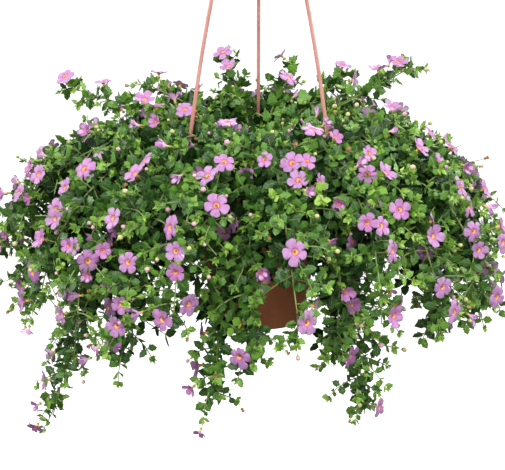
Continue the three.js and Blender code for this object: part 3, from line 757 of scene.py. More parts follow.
def bloom_template(edge_points, rows):
    """A bloom of radius 1 about +Z, its petals as lobes: points, triangles and UV.

    A point's radius is its row's, times 1 less the notch depth times what the petal's edge
    falls short of 1 there. The UV's first share is 0 at a petal's middle and 1 at its side, the
    second runs from 0 at the throat's floor over 1 at the edge to 2 at the calyx.
    """
    local, edge = np.tile(edge_points, (PETALS, 1)).T
    turn = np.radians(local + np.repeat(72 * np.arange(PETALS), len(edge_points)))
    rows = np.array(rows)
    radius = rows[:, :1] * (1 - rows[:, 2:] * (1 - edge))
    middle = np.stack([radius * np.cos(turn), radius * np.sin(turn), rows[:, 1:2] + 0 * turn], -1)
    points = np.vstack([[[0, 0, -TUBE_LENGTH]], middle.reshape(-1, 3), [[0, 0, -THROAT_DEPTH]]])
    share = np.tile(np.abs(local) / 36, len(rows))
    front = np.arange(len(rows)) >= rows[:, 0].argmax()
    depth = np.where(front, rows[:, 0], 2 - rows[:, 0])
    uv = np.vstack([[[0, 2]], np.stack([share, np.repeat(depth, len(turn))], -1), [[0, 0]]])
    return points, skin_faces(len(rows), len(turn)), uv


def frames_facing(facing, roll):
    """Right-handed axes whose third is facing, turned about it by roll."""
    across = np.stack([facing[:, 1], -facing[:, 0], 0 * facing[:, 0]], -1)
    steep = np.linalg.norm(across, axis=1) < 0.05
    across[steep] = [1, 0, 0]
    across = unit(across)
    up = unit(np.cross(facing, across))
    cos, sin = np.cos(roll)[:, None], np.sin(roll)[:, None]
    return np.stack([across * cos + up * sin, up * cos - across * sin, facing], axis=1)


def set_blooms(template, middle, facing, roll, radius, cup, rng):
    """Copies of a bloom: lifted by cup times radius squared, each petal ruffled and a bit askew.

    Petals differ in tilt and length, fall off at their sides and wave along their edges.
    """
    points = np.repeat(template[None], len(middle), axis=0)
    reach = np.hypot(points[:, :, 0], points[:, :, 1])
    turn = np.arctan2(points[:, :, 1], points[:, :, 0])
    petal = (turn / (2 * np.pi / PETALS)).round().astype(int) % PETALS
    local = turn - petal * 2 * np.pi / PETALS
    tilt = np.take_along_axis(rng.normal(scale=0.09, size=(len(middle), PETALS)), petal, axis=1)
    points[:, :, 2] += (cup[:, None] + tilt) * reach ** 2 - 0.38 * np.sin(local) ** 2 * reach ** 3
    wave = rng.uniform(0, 2 * np.pi, (len(middle), 1))
    points[:, :, 2] += 0.06 * reach ** 3 * np.cos(9 * local + wave + petal)
    size = np.take_along_axis(rng.normal(scale=0.07, size=(len(middle), PETALS)), petal, axis=1)
    narrow = (1 - 0.35 * np.clip(cup, 0, 1.4))[:, None] * (1 + size * reach)
    points[:, :, :2] *= narrow[:, :, None]
    axes = frames_facing(facing, roll) * radius[:, None, None]
    return middle[:, None] + points @ axes


def round_skin(rows, sides, lobes=0.0):
    """A small turned skin of [radius, height] rows with closed ends, its rings pinched to lobes."""
    points = turned(rows, sides)
    turn = np.arctan2(points[:, 1], points[:, 0])
    points[:, :2] *= (1 + lobes * np.cos(PETALS * turn))[:, None]
    return skin_part(points, len(rows) - 2, sides)[:3]


BUD_ROWS = [(0, 0), (0.55, 0.1), (0.95, 0.75), (0.9, 1.4), (0.5, 1.85), (0, 2.0)]
CALYX_ROWS = [(0, -0.1), (0.6, 0.0), (1.15, 0.5), (1.3, 1.05), (0.7, 0.8), (0, 0.7)]
WITHERED_ROWS = [(0, 0), (0.5, 0.2), (0.6, 1.2), (1.3, 2.2), (0.8, 2.9), (0, 2.5)]


def set_skins(template, base, facing, roll, size):
    """Copies of a small skin with its foot at base, standing along facing."""
    axes = frames_facing(facing, roll) * size[:, None, None]
    return base[:, None] + template @ axes


def leaf_material(name, tone, gloss):
    """Leaf green by age, blotched and puckered, with a pale midrib and side veins.

    The tone is 1 on the outer leaves and 0.5 on those deep inside the mound, and below 1 it mixes their
    green towards near black: painted shade.
    """
    material, shade = new_material(name)
    age = shade.tint()
    across, along = shade.surface(0), shade.surface(1)
    cloud = shade.noise(55.0)
    fine = shade.noise(900.0, 2.0)
    green = (age + 0.22 * cloud - 0.11).ramp(
        (0.0, (0.006, 0.028, 0.002)), (0.30, (0.030, 0.105, 0.008)),
        (0.65, (0.115, 0.275, 0.022)), (1.0, (0.29, 0.47, 0.06)))
    cool = shade.noise(34.0, 2.0).step(0.48, 0.62)
    green = (0.25 * cool).mix(green, (0.026, 0.108, 0.032, 1))
    rib = 1 - across.step(0.02, 0.12)
    slant = shade.maths("SINE", (along - 0.35 * across) * 42.0)
    veins = slant.step(0.80, 0.98)
    colour = (0.45 * tone * rib + 0.22 * tone * veins).mix(green, (0.30, 0.44, 0.15, 1))
    # Painted shade: where the tone is below 1, the colour is mixed towards near black.
    deep = {0: 1 - tone, 6: colour, 7: (0.004, 0.014, 0.002, 1)}
    colour = shade.node("Mix", deep, output=2, data_type="RGBA")
    roughness = 0.30 + 0.2 * fine
    puckers = shade.noise(330.0, 1.0)
    height = 2.5 * puckers + 0.4 * fine - 0.6 * veins - 0.9 * rib
    finish(shade, colour, roughness, height, 0.5, Specular_IOR_Level=gloss)
    return material


def twig_material():
    """Thin green bark, browner and rougher where the stem is old."""
    material, shade = new_material("twig")
    age = shade.tint()
    cloud = shade.noise(120.0)
    colour = (age + 0.3 * cloud - 0.15).ramp(
        (0.0, (0.075, 0.050, 0.022)), (0.5, (0.12, 0.17, 0.040)), (1.0, (0.26, 0.36, 0.09)))
    finish(shade, colour, 0.5 + 0.2 * cloud, shade.noise(600.0), 0.3)
    return material


def petal_material():
    """Lilac-pink petals with faint darker veins, a magenta ring and a yellow-orange throat.

    The tint deepens the pink towards magenta, as on blooms that have just opened.
    """
    material, shade = new_material("petal")
    young = shade.tint()
    across, depth = shade.surface(0), shade.surface(1)
    cloud = shade.noise(90.0)
    # Pale blotches in the petals' middles: partly the petals' own mottling, partly a painted highlight.
    pale_mottle_and_highlight = shade.noise(260.0, 4.0).step(0.38, 0.62)
    lilac = (0.3 * cloud + 0.8 * young).mix((0.345, 0.195, 0.36, 1), (0.38, 0.12, 0.35, 1))
    lilac = (0.4 * pale_mottle_and_highlight * (1 - 0.8 * depth.step(0.8, 1.0))).mix(lilac, (0.445, 0.335, 0.46, 1))
    # Deeper magenta towards each petal's sides: partly the petal's own colour, partly painted shade where
    # the edges curl away.
    side = across.step(0.45, 1.0) * depth.step(0.3, 0.5)
    lilac = (0.55 * side).mix(lilac, (0.44, 0.12, 0.39, 1))
    veins = shade.maths("SINE", across * 26.0).step(0.5, 1.0) * (1 - depth.step(0.55, 1.0))
    lilac = (0.4 * veins).mix(lilac, (0.45, 0.09, 0.38, 1))
    ring = depth.step(0.20, 0.27) * (1 - depth.step(0.27, 0.42))
    colour = (0.75 * ring).mix(lilac, (0.42, 0.045, 0.24, 1))
    throat = depth.ramp(
        (0.0, (0.22, 0.05, 0.005)), (0.06, (0.38, 0.12, 0.006)),
        (0.14, (0.52, 0.22, 0.006)), (0.21, (0.63, 0.34, 0.015)))
    colour = (1 - depth.step(0.20, 0.25)).mix(colour, throat)
    back = depth.step(1.05, 1.2)
    colour = (0.45 * back).mix(colour, (0.86, 0.62, 0.82, 1))
    colour = depth.step(1.78, 1.86).mix(colour, (0.80, 0.50, 0.10, 1))
    finish(shade, colour, 0.5 + 0.15 * cloud, 0.5 * veins + shade.noise(500.0), 0.2)
    return material


def bud_material():
    """Round closed buds: cream to pale pink, greener at the foot."""
    material, shade = new_material("bud")
    pink = shade.tint()
    along = shade.surface(1)
    tip = pink.ramp((0.0, (0.42, 0.46, 0.14)), (0.35, (0.55, 0.48, 0.22)), (0.6, (0.62, 0.30, 0.42)))
    colour = along.step(0.1, 0.5).mix((0.35, 0.45, 0.12, 1), tip)
    finish(shade, colour, 0.5 + 0.1 * along, shade.noise(500.0), 0.2)
    return material


def withered_material():
    """Dry papery brown-orange of a bloom that is over."""
    material, shade = new_material("withered")
    cloud = shade.noise(260.0, 4.0)
    colour = cloud.ramp(
        (0.3, (0.16, 0.045, 0.018)), (0.55, (0.42, 0.16, 0.07)), (0.75, (0.60, 0.34, 0.20)))
    finish(shade, colour, 0.75 + 0.1 * cloud, cloud, 0.6)
    return material


# The inner leaves' material, with a tone of 0.5, is the leaf green darkened by painted shade.
plant_materials = [
    leaf_material("leaf", 1.0, 0.42), twig_material(), petal_material(), bud_material(),
    withered_material(), leaf_material("shaded_inner_leaf", 0.5, 0.12),
]
LEAF, TWIG, PETAL, BUD, WITHERED, INNER = range(6)

# Where the side twigs stand along a stem and how far they reach. A few reach farther, and
# those that grow inwards under the arch stop where the sprays hang free. A twig to a solid
# leaf starts some way before its joint and ends a little short of its tip.
TWIG_START = {"trailing": 30, "hanging": 30, "shoulder": 22, "crown": 22}
TWIG_GAP = {"trailing": 9.5, "hanging": 10.5, "shoulder": 13.0, "crown": 21.0}
TWIG_REACH = (19, 34)
SIDEWAYS_EXTRA = 0.75
LONG_TWIG_EXTRA = (12, 22)
LONG_TWIG_SHARE = 0.07
TIP_STRETCH = 40
TIP_REACH = 0.7
CROWN_REACH = 0.8
INNER_START = 30
INNER_GAP = 15.0
INNER_SHARE = 0.80
INNER_EXTRA = 12
INNER_LOWEST = -180.0
BEFORE_JOINT = (14, 24)
SHORT_OF_TIP = 7

# The mound's outline comes from cutting back the outer twigs by shares of their reach: those
# that point out of the mound where the stem doesn't fall, by more on the left and behind,
# those that point out in front from the lip upwards, and all at the far right. The
# distances say where a cut starts, over how much it grows, or where it is full.
UPRIGHT_CUT = 0.45
LEFT_AND_BACK_CUT = 0.42
LEFT_FULL, BACK_FULL = 180.0, 110.0
RIGHT_CUT = 0.3
RIGHT_START, RIGHT_FADE = 215.0, 60.0
FRONT_CUT = 0.45
FRONT_FULL = 60.0
LIP_FADE = 30.0

# In the front view the arms' lower ends and a patch of the pot's wall show between the
# sprays. Here are the camera's place, the height over the lip from which each arm shows,
# and the patch's middle and half its width and height, as slopes right and up from there.
EYE = np.array([-7.5, -1400.0, -241.0])
ARM_SHOWN_ABOVE = [18, 22, 42]
ARM_SHOWN_LENGTH = 50
SIGHT_GAP = 0.0045
PATCH_MIDDLE = np.array([0.0285, -0.2775])
PATCH_HALF = np.array([0.016, 0.0145])


def outward_from(points):
    """The way out of the mound at each point."""
    return unit(points - MOUND_MIDDLE)


def quadratic(start, bend, end, share):
    """Curves of three control points, (copy, share, 3)."""
    share = np.asarray(share, float)[..., None]
    rest = 1 - share
    return rest ** 2 * start[:, None] + 2 * rest * share * bend[:, None] + share ** 2 * end[:, None]


def twigs_of(stem, rng):
    """Roots, ends and shade of a stem's side twigs, where the shade is 1 deep inside the mound.

    Twigs run to each solid leaf's tips, all round the stem, and inwards under its arch. They
    reach farther to the sides of a falling stem and are cut back by the mound's outline.
    """
    roots, ends = [], []
    for joint, tips in zip(stem.leaf_joints, stem.leaf_tips):
        for tip in tips:
            root = stem.at(joint - rng.uniform(*BEFORE_JOINT))
            roots.append(root)
            ends.append(tip + (root - tip) * (SHORT_OF_TIP / np.linalg.norm(tip - root)))
    crown = stem.storey == "crown"
    gap = TWIG_GAP[stem.storey]
    outer = np.arange(TWIG_START[stem.storey], stem.length - 8, gap)
    inner = np.arange(INNER_START, 0 if crown else INNER_SHARE * stem.length, INNER_GAP)
    inner = inner[stem.at(inner)[:, 2] > RIM_Z + INNER_LOWEST]
    shade = np.concatenate([0 * outer, 0 * inner + 1])
    distances = np.concatenate([outer, inner]) + rng.uniform(-0.45, 0.45, len(shade)) * gap
    points, along = stem.at(distances), stem.along(distances)
    out = across_from(along, outward_from(points) + [0, 0, 0.25])
    side = np.cross(along, out)
    angle = rng.uniform(-1, 1, len(points)) * np.where(shade > 0, 1.2, 2.1) + np.pi * shade
    falling = np.clip(-along[:, 2], 0, 1)
    wide = 1 + SIDEWAYS_EXTRA * falling * np.abs(np.sin(angle))
    aside = np.clip([-points[:, 0] / LEFT_FULL, points[:, 1] / BACK_FULL], 0, 1).max(axis=0)
    cut = (UPRIGHT_CUT + LEFT_AND_BACK_CUT * aside) * (1 - falling) * np.cos(angle).clip(0)
    right = np.clip((points[:, 0] - RIGHT_START) / RIGHT_FADE, 0, 1)
    uncut = 1 - cut - RIGHT_CUT * right * (shade == 0)
    reach = rng.uniform(*TWIG_REACH, len(points)) * wide * uncut + INNER_EXTRA * shade
    extra = rng.uniform(*LONG_TWIG_EXTRA, len(points))
    reach += extra * (rng.uniform(size=len(points)) < LONG_TWIG_SHARE) * (shade == 0)
    reach *= np.where(distances > stem.length - TIP_STRETCH, TIP_REACH, 1) * (CROWN_REACH if crown else 1)
    at_lip = np.clip((points[:, 2] - RIM_Z + LIP_FADE) / LIP_FADE, 0, 1)
    in_front = np.clip(-points[:, 1] / FRONT_FULL, 0, 1) * at_lip
    reach *= 1 - FRONT_CUT * in_front * np.cos(angle).clip(0)
    away = out * np.cos(angle)[:, None] + side * np.sin(angle)[:, None]
    lean = rng.uniform(0.25, 0.8, len(points))[:, None]
    ends_between = points + reach[:, None] * unit(away + lean * along + [0, 0, 0.15])
    roots, ends = np.vstack([*roots, points]), np.vstack([*ends, ends_between])
    shade = np.concatenate([np.zeros(len(roots) - len(points)), shade])
    open_way = ~parted(0.3 * roots + 0.7 * ends) & ~parted(ends)
    return roots[open_way], ends[open_way], shade[open_way]


# Leaves have their lengths and the gaps between their pairs, and a tint that is 0 on the
# oldest and darkest and 1 on the youngest and palest. The farther out they stand, the paler
# they are, partly as younger growth and partly as painted shade on the inner ones. On the
# crown they are paler as painted light on the top, and the sprays there are also more open
# and their leaves more askew. On twigs deep inside the mound they are darker: painted shade.
# They turn to the light, which comes from above and a little from the left in front.
LIGHT = np.array([-0.25, -0.35, 0.9])
STEM_LEAF = 19.5
STEM_LEAF_GAP = 13.0
CROWN_LEAF_GAP = 16.0
TWIG_LEAVES = [15.0, 13.5, 8.5]
TWIG_LEAF_GAP = 7.5
CROWN_TWIG_LEAF_GAP = 9.5
INNER_LEAF_GAP = 11.0
INNER_LEAF_EXTRA = 5.0
ROSETTE = [(0, 4.0, 8.5, 0.8), (1, 1.5, 7.0, 1.3), (2, 0.0, 5.5, 2.2)]
ASKEW = 0.36
CROWN_ASKEW = 0.8
STEM_LEAN = 0.35
TWIG_LEANS = [0.35, 0.5, 1.0]
STEM_TINTS = [0.04, 0.22, 0.46]
TWIG_TINTS = [0.11, 0.37, 0.68]
ROSETTE_TINT = 0.84
CROWN_PAINTED_LIGHT = 0.4
OUTER_YOUNGER_AND_LIT = 0.06
OUTER_FROM = 140
INNER_PAINTED_SHADE = 0.5


def pairs_on(points, along, turn, rng, sizes, lean, askew):
    """Opposite leaves at points: base, direction, upper side and length of each leaf.

    Each pair stands square to the stem, turned about it by turn, leans forwards and faces
    the light, by a share that differs more where askew is larger.
    """
    reference = across_from(along, unit(rng.normal(size=(1, 3))))
    other = np.cross(along, reference)
    away = reference * np.cos(turn)[:, None] + other * np.sin(turn)[:, None]
    away = np.concatenate([away, -away])
    base, along = np.tile(points, (2, 1)), np.tile(along, (2, 1))
    light = unit(outward_from(base) + LIGHT)
    lean = np.tile(lean, 2)[:, None]
    direction = unit(away + lean * along + 0.30 * light + rng.normal(scale=0.16, size=base.shape))
    normal = across_from(direction, 0.55 * along + 0.9 * light + rng.normal(scale=askew, size=base.shape))
    return base, direction, normal, np.tile(sizes, 2) * rng.uniform(0.85, 1.15, len(base))


def main_leaves(stem, rng):
    """The older, larger leaves on the stem itself, in crosswise pairs a little apart."""
    crown = stem.storey == "crown"
    distances = np.arange(16, stem.length - 5, CROWN_LEAF_GAP if crown else STEM_LEAF_GAP)
    distances = distances + rng.uniform(-3, 3, len(distances))
    share = distances / stem.length
    sizes = STEM_LEAF * np.interp(share, [0, 0.5, 0.85, 1], [0.85, 1, 0.9, 0.6])
    turn = np.pi / 2 * np.arange(len(distances)) + rng.normal(scale=0.25, size=len(distances))
    points, along = stem.at(distances), stem.along(distances)
    base, direction, normal, length = pairs_on(
        points, along, turn, rng, sizes, STEM_LEAN + 0 * share, CROWN_ASKEW if crown else ASKEW)
    # On the crown the tint is raised: painted light on the top.
    tint = np.tile(np.interp(share, [0, 0.8, 1], STEM_TINTS), 2) + CROWN_PAINTED_LIGHT * crown
    return base, direction, normal, length, tint + rng.normal(scale=0.08, size=len(base))


def twig_leaves(start, bend, end, shade, crown, rng):
    """Leaf pairs along every twig, smaller, paler and more upright towards its end.

    Also which of them stand on twigs deep inside the mound, where they are large and darkened by painted
    shade.
    """
    twig_length = np.linalg.norm(end - start, axis=1)
    gap = np.where(shade > 0, INNER_LEAF_GAP, CROWN_TWIG_LEAF_GAP if crown else TWIG_LEAF_GAP)
    pairs = np.clip((twig_length / gap).round(), 2, 5)
    slots = np.arange(5)
    share = np.clip((slots + 0.75) / (pairs[:, None] + 0.1), 0, 1)
    chosen = slots < pairs[:, None]
    curve = quadratic(start, bend, end, share)
    along = unit(quadratic(start, bend, end, share + 0.02) - curve)
    turn = np.pi / 2 * slots + rng.uniform(0, 2 * np.pi, len(start))[:, None]
    sizes = np.interp(share, [0, 0.5, 1], TWIG_LEAVES) * rng.uniform(0.8, 1.2, len(start))[:, None]
    sizes = 1.1 * sizes if crown else sizes + INNER_LEAF_EXTRA * shade[:, None]
    lean = np.interp(share, [0, 0.7, 1], TWIG_LEANS)
    tint = np.interp(share, [0, 0.6, 1], TWIG_TINTS)
    tint = tint + rng.normal(scale=0.12, size=len(start))[:, None]
    # Leaves on inner twigs get a lower tint: painted shade.
    tint -= INNER_PAINTED_SHADE * shade[:, None]
    curve, along, turn, sizes, lean, tint = (
        part[chosen] for part in (curve, along, turn, sizes, lean, tint))
    leaves = pairs_on(curve, along, turn, rng, sizes, lean, CROWN_ASKEW if crown else ASKEW)
    tint = np.tile(tint, 2) + rng.normal(scale=0.08, size=2 * len(tint))
    inside = np.tile((chosen & (shade[:, None] > 0))[chosen], 2)
    return (*leaves, tint), inside


def tip_rosettes(end, along, rng):
    """Crossed pairs of narrow pale young leaves at each twig's end.

    Each pair has its quarter turns, its place back from the end, its length and its lean.
    """
    turn = rng.uniform(0, 2 * np.pi, len(end))
    parts = []
    for quarter, back, size, lean in ROSETTE:
        sizes = size * rng.uniform(0.7, 1.3, len(end))
        place = end - back * along
        parts.append(pairs_on(place, along, turn + np.pi / 2 * quarter, rng, sizes, lean + 0 * sizes, 0.5))
    base, direction, normal, length = (np.concatenate(part) for part in zip(*parts))
    return base, direction, normal, length, rng.normal(ROSETTE_TINT, 0.13, size=len(base))


def seen_from_front(points):
    """How far right and up points lie in the view from the front, as slopes from the camera."""
    offset = points - EYE
    return offset[..., [0, 2]] / offset[..., 1:2]


def parted(points):
    """Whether points stand before an arm's lower end or the patch of wall that shows."""
    slope = seen_from_front(points)
    hidden = np.zeros(len(points), bool)
    for azimuth, lowest in zip(ARM_AZIMUTHS, ARM_SHOWN_ABOVE):
        arm = arm_path(azimuth, 160)
        height = arm[:, 2] - RIM_Z
        arm = arm[(height > lowest) & (height < lowest + ARM_SHOWN_LENGTH)]
        near = nearest(slope, seen_from_front(arm)) < SIGHT_GAP
        hidden |= near & (points[:, 1] < arm[:, 1].max())
    patch = (slope - PATCH_MIDDLE) / PATCH_HALF
    return hidden | ((np.linalg.norm(patch, axis=1) < 1) & (points[:, 1] < -POT_BASE_RADIUS))


# Leaves keep clear of a cone before each bloom's face, from a little behind it on, and of
# the arms, the pot's wall and the soil.
FACE_BACK = 1.5
FACE_DEPTH = 30.0
FACE_CLEARANCE = 10.5
FACE_SPREAD = 0.12
ARM_CLEARANCE = 1.5
WALL_CLEARANCE = 5.0
WALL_MARGIN = 3.0
SOIL_MARGIN = 2.0


def kept(base, direction, length):
    """Which leaves stay clear of the blooms' faces, the arms, the pot's wall and the soil."""
    middle, tip = (base + direction * (length * share)[:, None] for share in (0.55, 1.0))
    stays = np.ones(len(base), bool)
    for point in (base, middle, tip):
        offset = point[:, None] - bloom_faces
        ahead = (offset * bloom_facings).sum(-1)
        beside = np.linalg.norm(offset - ahead[..., None] * bloom_facings, axis=-1)
        before = (ahead > -FACE_BACK) & (ahead < FACE_DEPTH)
        in_cone = before & (beside < FACE_CLEARANCE + FACE_SPREAD * ahead)
        radius, height = np.hypot(point[:, 0], point[:, 1]), point[:, 2] - RIM_Z
        wall = wall_radius(height)
        beside_pot = (height < WALL_MARGIN) & (height > -POT_HEIGHT - WALL_MARGIN)
        in_wall = (np.abs(radius - wall + POT_WALL / 2) < WALL_CLEARANCE) & beside_pot
        in_soil = (radius < wall) & (height < -SOIL_DROP + SOIL_MARGIN) & (height > -POT_HEIGHT)
        stays &= ~in_cone.any(axis=1) & (nearest(point, arm_points) > ROD_RADIUS + ARM_CLEARANCE)
        stays &= ~in_wall & ~in_soil & ~parted(point)
    return stays


big_blade, small_blade, young_blade, inner_blade = (
    blade(rows) for rows in (BIG_LEAF, SMALL_LEAF, YOUNG_LEAF, INNER_LEAF))
petal_shape = bloom_template(PETAL_EDGE, BLOOM_ROWS)
young_shape = bloom_template(YOUNG_EDGE, YOUNG_ROWS)
bud_shape, calyx_shape, cup_shape, withered_shape = (
    round_skin(rows, sides, lobes) for rows, sides, lobes in (
        (BUD_ROWS, 6, 0), (CALYX_ROWS, 10, 0.12), (CALYX_ROWS, 5, 0), (WITHERED_ROWS, 8, 0.2)))

# Here are the radii of blooms, buds and stalks. A twig's end draws a lot between 0 and 1 for
# a bud, a withered bloom or a younger bloom on it, and carries none where an open bloom or
# an arm is too close. More of the lots give a younger bloom within CLUSTER of an open one.
BLOOM_RADIUS = 12.8
YOUNG_RADII = (8.5, 12.0)
BUD_SIZES = (1.7, 3.2)
WITHERED_SIZES = (1.3, 2.1)
CUP_SIZE = 1.7
BLOOM_STALK = 0.6
BUD_STALK = 0.45
STALK_SIDES = 4
STALK_LENGTHS = (5, 10)
BUD_LOTS = (0.0, 0.17)
WITHERED_LOTS = (0.20, 0.255)
YOUNG_FROM = 0.95
CLUSTER_FROM = 0.83
CLUSTER = 34
HEAD_TO_BLOOM = 13
HEAD_TO_ARM = 12


def random_side(facing, rng):
    """A direction square to each facing, for the tube that is its stalk."""
    return unit(np.cross(facing, rng.normal(size=facing.shape)))[:, None]


def leaf_part(template, leaves, rng, slot=LEAF):
    """The leaves of one outline that stay clear, ready to sew: the farther out, the paler, partly as
    younger growth and partly as painted shade on the inner ones.
    """
    base, direction, _, length, _ = leaves
    stays = kept(base, direction, length)
    base, direction, normal, length, tint = (part[stays] for part in leaves)
    # Paler farther from the pot's axis: partly younger growth, partly painted shade on the inner leaves.
    tint = tint + OUTER_YOUNGER_AND_LIT * (np.linalg.norm(base[:, :2], axis=1) / OUTER_FROM - 1)
    width = rng.uniform(0.85, 1.15, len(base))
    curl = rng.normal(0.16, 0.12, len(base))
    points = set_blades(template[0], base, direction, normal, length, width, curl)
    return (points, template[1], template[2], np.clip(tint, 0, 1)[:, None], slot)


def bloom_parts(stem, rng):
    """A stem's open blooms, each on its stalk with its calyx."""
    if not stem.blooms:
        return []
    root, facing = (np.array([bloom[part] for bloom in stem.blooms]) for part in (0, 1))
    roll = np.array([bloom[2] for bloom in stem.blooms])
    radius = BLOOM_RADIUS * rng.uniform(0.86, 1.06, len(root))
    middle = root + facing * (BLOOM_REACH - 1)
    cup = rng.uniform(-0.16, 0.30, len(root))
    calyx_foot = middle - facing * (TUBE_LENGTH * radius)[:, None]
    bend = (root + calyx_foot) / 2 + rng.normal(scale=1.5, size=root.shape)
    stalks = quadratic(root, bend, calyx_foot, np.linspace(0, 1, 5))
    sideways = random_side(facing, rng)
    petals = set_blooms(petal_shape[0], middle, facing, roll, radius, cup, rng)
    tint = rng.uniform(0, 1, (len(root), 1)) ** 2 * 0.7
    calyxes = set_skins(calyx_shape[0], calyx_foot, facing, roll, 0.13 * radius * 1.25)
    return [
        (petals, *petal_shape[1:], tint, PETAL),
        (calyxes, *calyx_shape[1:], 0.9, TWIG),
        tube_part(stalks, BLOOM_STALK, sideways, STALK_SIDES, 0.95, TWIG),
    ]


def bud_parts(end, along, rng):
    """Buds, younger blooms and withered blooms on short stalks at some of the twigs' ends."""
    parts = []
    lot = rng.uniform(size=len(end))
    facing = unit(along + 0.7 * outward_from(end) + rng.normal(scale=0.3, size=end.shape))
    head = end + facing * rng.uniform(*STALK_LENGTHS, len(end))[:, None]
    bloom_gap = nearest(head, bloom_faces)
    clear = (bloom_gap > HEAD_TO_BLOOM) & (nearest(head, arm_points) > HEAD_TO_ARM)
    roll = rng.uniform(0, 2 * np.pi, len(end))
    carried = np.zeros(len(end), bool)
    for lots, shape, slot, size in (
            (BUD_LOTS, bud_shape, BUD, BUD_SIZES),
            (WITHERED_LOTS, withered_shape, WITHERED, WITHERED_SIZES)):
        chosen = (lot >= lots[0]) & (lot < lots[1]) & clear
        if chosen.any():
            sizes = rng.uniform(*size, chosen.sum())
            points = set_skins(shape[0], head[chosen], facing[chosen], roll[chosen], sizes)
            parts.append((points, *shape[1:], rng.uniform(0, 1, (chosen.sum(), 1)), slot))
            carried |= chosen
    chosen = (lot > np.where(bloom_gap < CLUSTER, CLUSTER_FROM, YOUNG_FROM)) & clear
    if chosen.any():
        radius = rng.uniform(*YOUNG_RADII, chosen.sum())
        middle = head[chosen] + facing[chosen] * (0.6 * radius)[:, None]
        cup = rng.uniform(0.0, 0.9, chosen.sum())
        points = set_blooms(young_shape[0], middle, facing[chosen], roll[chosen], radius, cup, rng)
        parts.append((points, *young_shape[1:], rng.uniform(0.4, 1.0, (chosen.sum(), 1)), PETAL))
        carried |= chosen
    if carried.any():
        end, head, facing, roll = (part[carried] for part in (end, head, facing, roll))
        stalks = np.stack([end, head], axis=1)
        sideways = random_side(facing, rng)
        parts.append(tube_part(stalks, BUD_STALK, sideways, STALK_SIDES, 0.85, TWIG))
        cups = set_skins(cup_shape[0], head - 0.4 * facing, facing, roll, CUP_SIZE + 0 * roll)
        parts.append((cups, *cup_shape[1:], 0.9, TWIG))
    return parts


# Each spray is sewn from its stem, twigs, leaves, blooms and buds. Stems and twigs get
# thinner from foot to tip, and a twig bends upwards by a share of its length.
STEM_SIDES = 5
STEM_FOOT_RADIUS = 1.5
STEM_TIP_RADIUS = 0.7
TWIG_SIDES = 3
TWIG_RADII = [0.95, 0.85, 0.75, 0.55]
TWIG_BEND = 0.12

for number, stem in enumerate(stems):
    rng = np.random.default_rng(SEED + number)
    distances = np.linspace(0, stem.length, int(stem.length / 10))
    line = np.vstack([stem.joints[0], stem.at(distances)])
    radii = np.interp(distances, [0, stem.length], [STEM_FOOT_RADIUS, STEM_TIP_RADIUS])
    radii = np.append(STEM_FOOT_RADIUS, radii)
    age = np.interp(distances, [0, 0.5 * stem.length, stem.length], [0.15, 0.5, 1])
    age = np.concatenate([[age[0]], np.repeat(np.append(age[0], age), STEM_SIDES), [age[-1]]])
    roots, ends, shade = twigs_of(stem, rng)
    chord = ends - roots
    span = np.linalg.norm(chord, axis=1)[:, None]
    bends = roots + 0.5 * chord + rng.normal(scale=0.08, size=roots.shape) * span
    bends += TWIG_BEND * span * np.array([0, 0, 1.0])
    twig_lines = quadratic(roots, bends, ends, np.linspace(0, 1, len(TWIG_RADII)))
    sideways = across_from(unit(chord), unit(rng.normal(size=chord.shape)))[:, None]
    tip_along = unit(twig_lines[:, -1] - twig_lines[:, -2])
    leaves, inside = twig_leaves(roots, bends, ends, shade, stem.storey == "crown", rng)
    parts = [
        tube_part(line, radii, stem.flat, STEM_SIDES, age, TWIG),
        tube_part(twig_lines, TWIG_RADII, sideways, TWIG_SIDES, 0.7, TWIG),
        leaf_part(big_blade, main_leaves(stem, rng), rng),
        leaf_part(small_blade, [part[~inside] for part in leaves], rng),
        leaf_part(inner_blade, [part[inside] for part in leaves], rng, INNER),
        leaf_part(young_blade, tip_rosettes(ends[shade == 0], tip_along[shade == 0], rng), rng),
        *bloom_parts(stem, rng),
        *bud_parts(ends[shade == 0], tip_along[shade == 0], rng),
    ]
    spray = sew(stem.name, parts, plant_materials, sharp=60)
    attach(spray, "root")
    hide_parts(stem.node)

# The studio, in metres: a wide pale floor far below the hanging pot, large soft lamps in
# front, at both sides and behind, a pale surround that the camera sees as plain white, and
# the camera at the photograph's angle.
CAMERA_TILT = 78.0
CAMERA_LENS = 83.26
FLOOR_Z = -1.9
FLOOR_SIZE = 3000.0

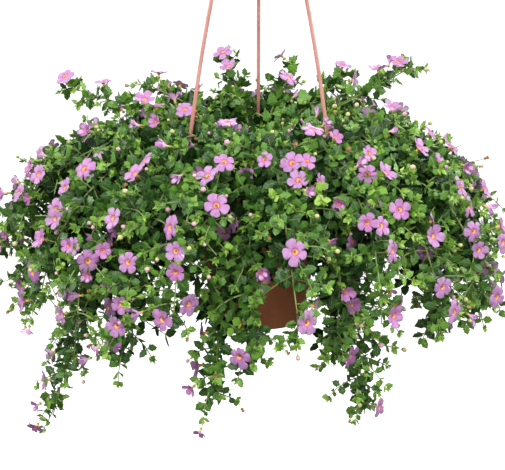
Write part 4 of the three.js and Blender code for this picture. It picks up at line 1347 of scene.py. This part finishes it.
# Each lamp has its width, its watts, its place and its turn in degrees.
LAMPS = [
    ("key", 1.1, 67, (-0.6, -2.1, 1.25), (51, 0, -16)),
    ("fill", 1.4, 24, (0.5, -2.1, -0.4), (88, 0, 13)),
    ("left side", 1.4, 55, (-2.2, 0.3, 0.8), (67, 0, -98)),
    ("right side", 1.4, 70, (2.2, 0.3, 0.8), (67, 0, 98)),
    ("back", 1.4, 50, (0.5, 2.2, 0.9), (61, 0, 167)),
]

floor_mesh = bpy.data.meshes.new("floor")
half = FLOOR_SIZE / 2
corners = [(-half, -half, FLOOR_Z), (half, -half, FLOOR_Z), (half, half, FLOOR_Z), (-half, half, FLOOR_Z)]
floor_mesh.from_pydata(corners, [], [(0, 1, 2, 3)])
floor = placed("floor", floor_mesh)
floor_material, shade = new_material("floor")
finish(shade, (0.93, 0.93, 0.93, 1), 0.9 + 0.05 * shade.noise(3.0), shade.noise(40.0), 0.02,
       Emission_Color=(1, 1, 1, 1), Emission_Strength=0.75)
floor_mesh.materials.append(floor_material)
floor.visible_diffuse = False
floor.visible_glossy = False

world = bpy.data.worlds.new("surround")
world.use_nodes = True
sky = Shade(world.node_tree)
height = sky.node("SeparateXYZ", {0: sky.node("TexCoord", output="Generated")}, output=2)
glow = height.ramp((0.0, (0.28, 0.28, 0.28)), (0.35, (0.66, 0.66, 0.66)), (1.0, (1.1, 1.1, 1.1)))
seen = sky.node("LightPath", output="Is Camera Ray")
background = world.node_tree.nodes["Background"]
world.node_tree.links.new(seen.mix(glow, (1, 1, 1, 1)).socket, background.inputs["Color"])
world.node_tree.links.new((0.60 + 0.50 * seen).socket, background.inputs["Strength"])
bpy.context.scene.world = world
bpy.context.scene.view_settings.view_transform = "Standard"

for name, size, energy, place, turn in LAMPS:
    lamp = bpy.data.lights.new(name, "AREA")
    lamp.shape = "DISK"
    lamp.size = size
    lamp.energy = energy
    light = placed(name, lamp)
    light.location = place
    light.rotation_euler = np.radians(turn)

camera_data = bpy.data.cameras.new("camera")
camera_data.lens = CAMERA_LENS
camera_data.sensor_width = 36
camera = placed("camera", camera_data)
camera.location = EYE * METRE
camera.rotation_euler = (np.radians(CAMERA_TILT), 0, 0)
bpy.context.scene.camera = camera
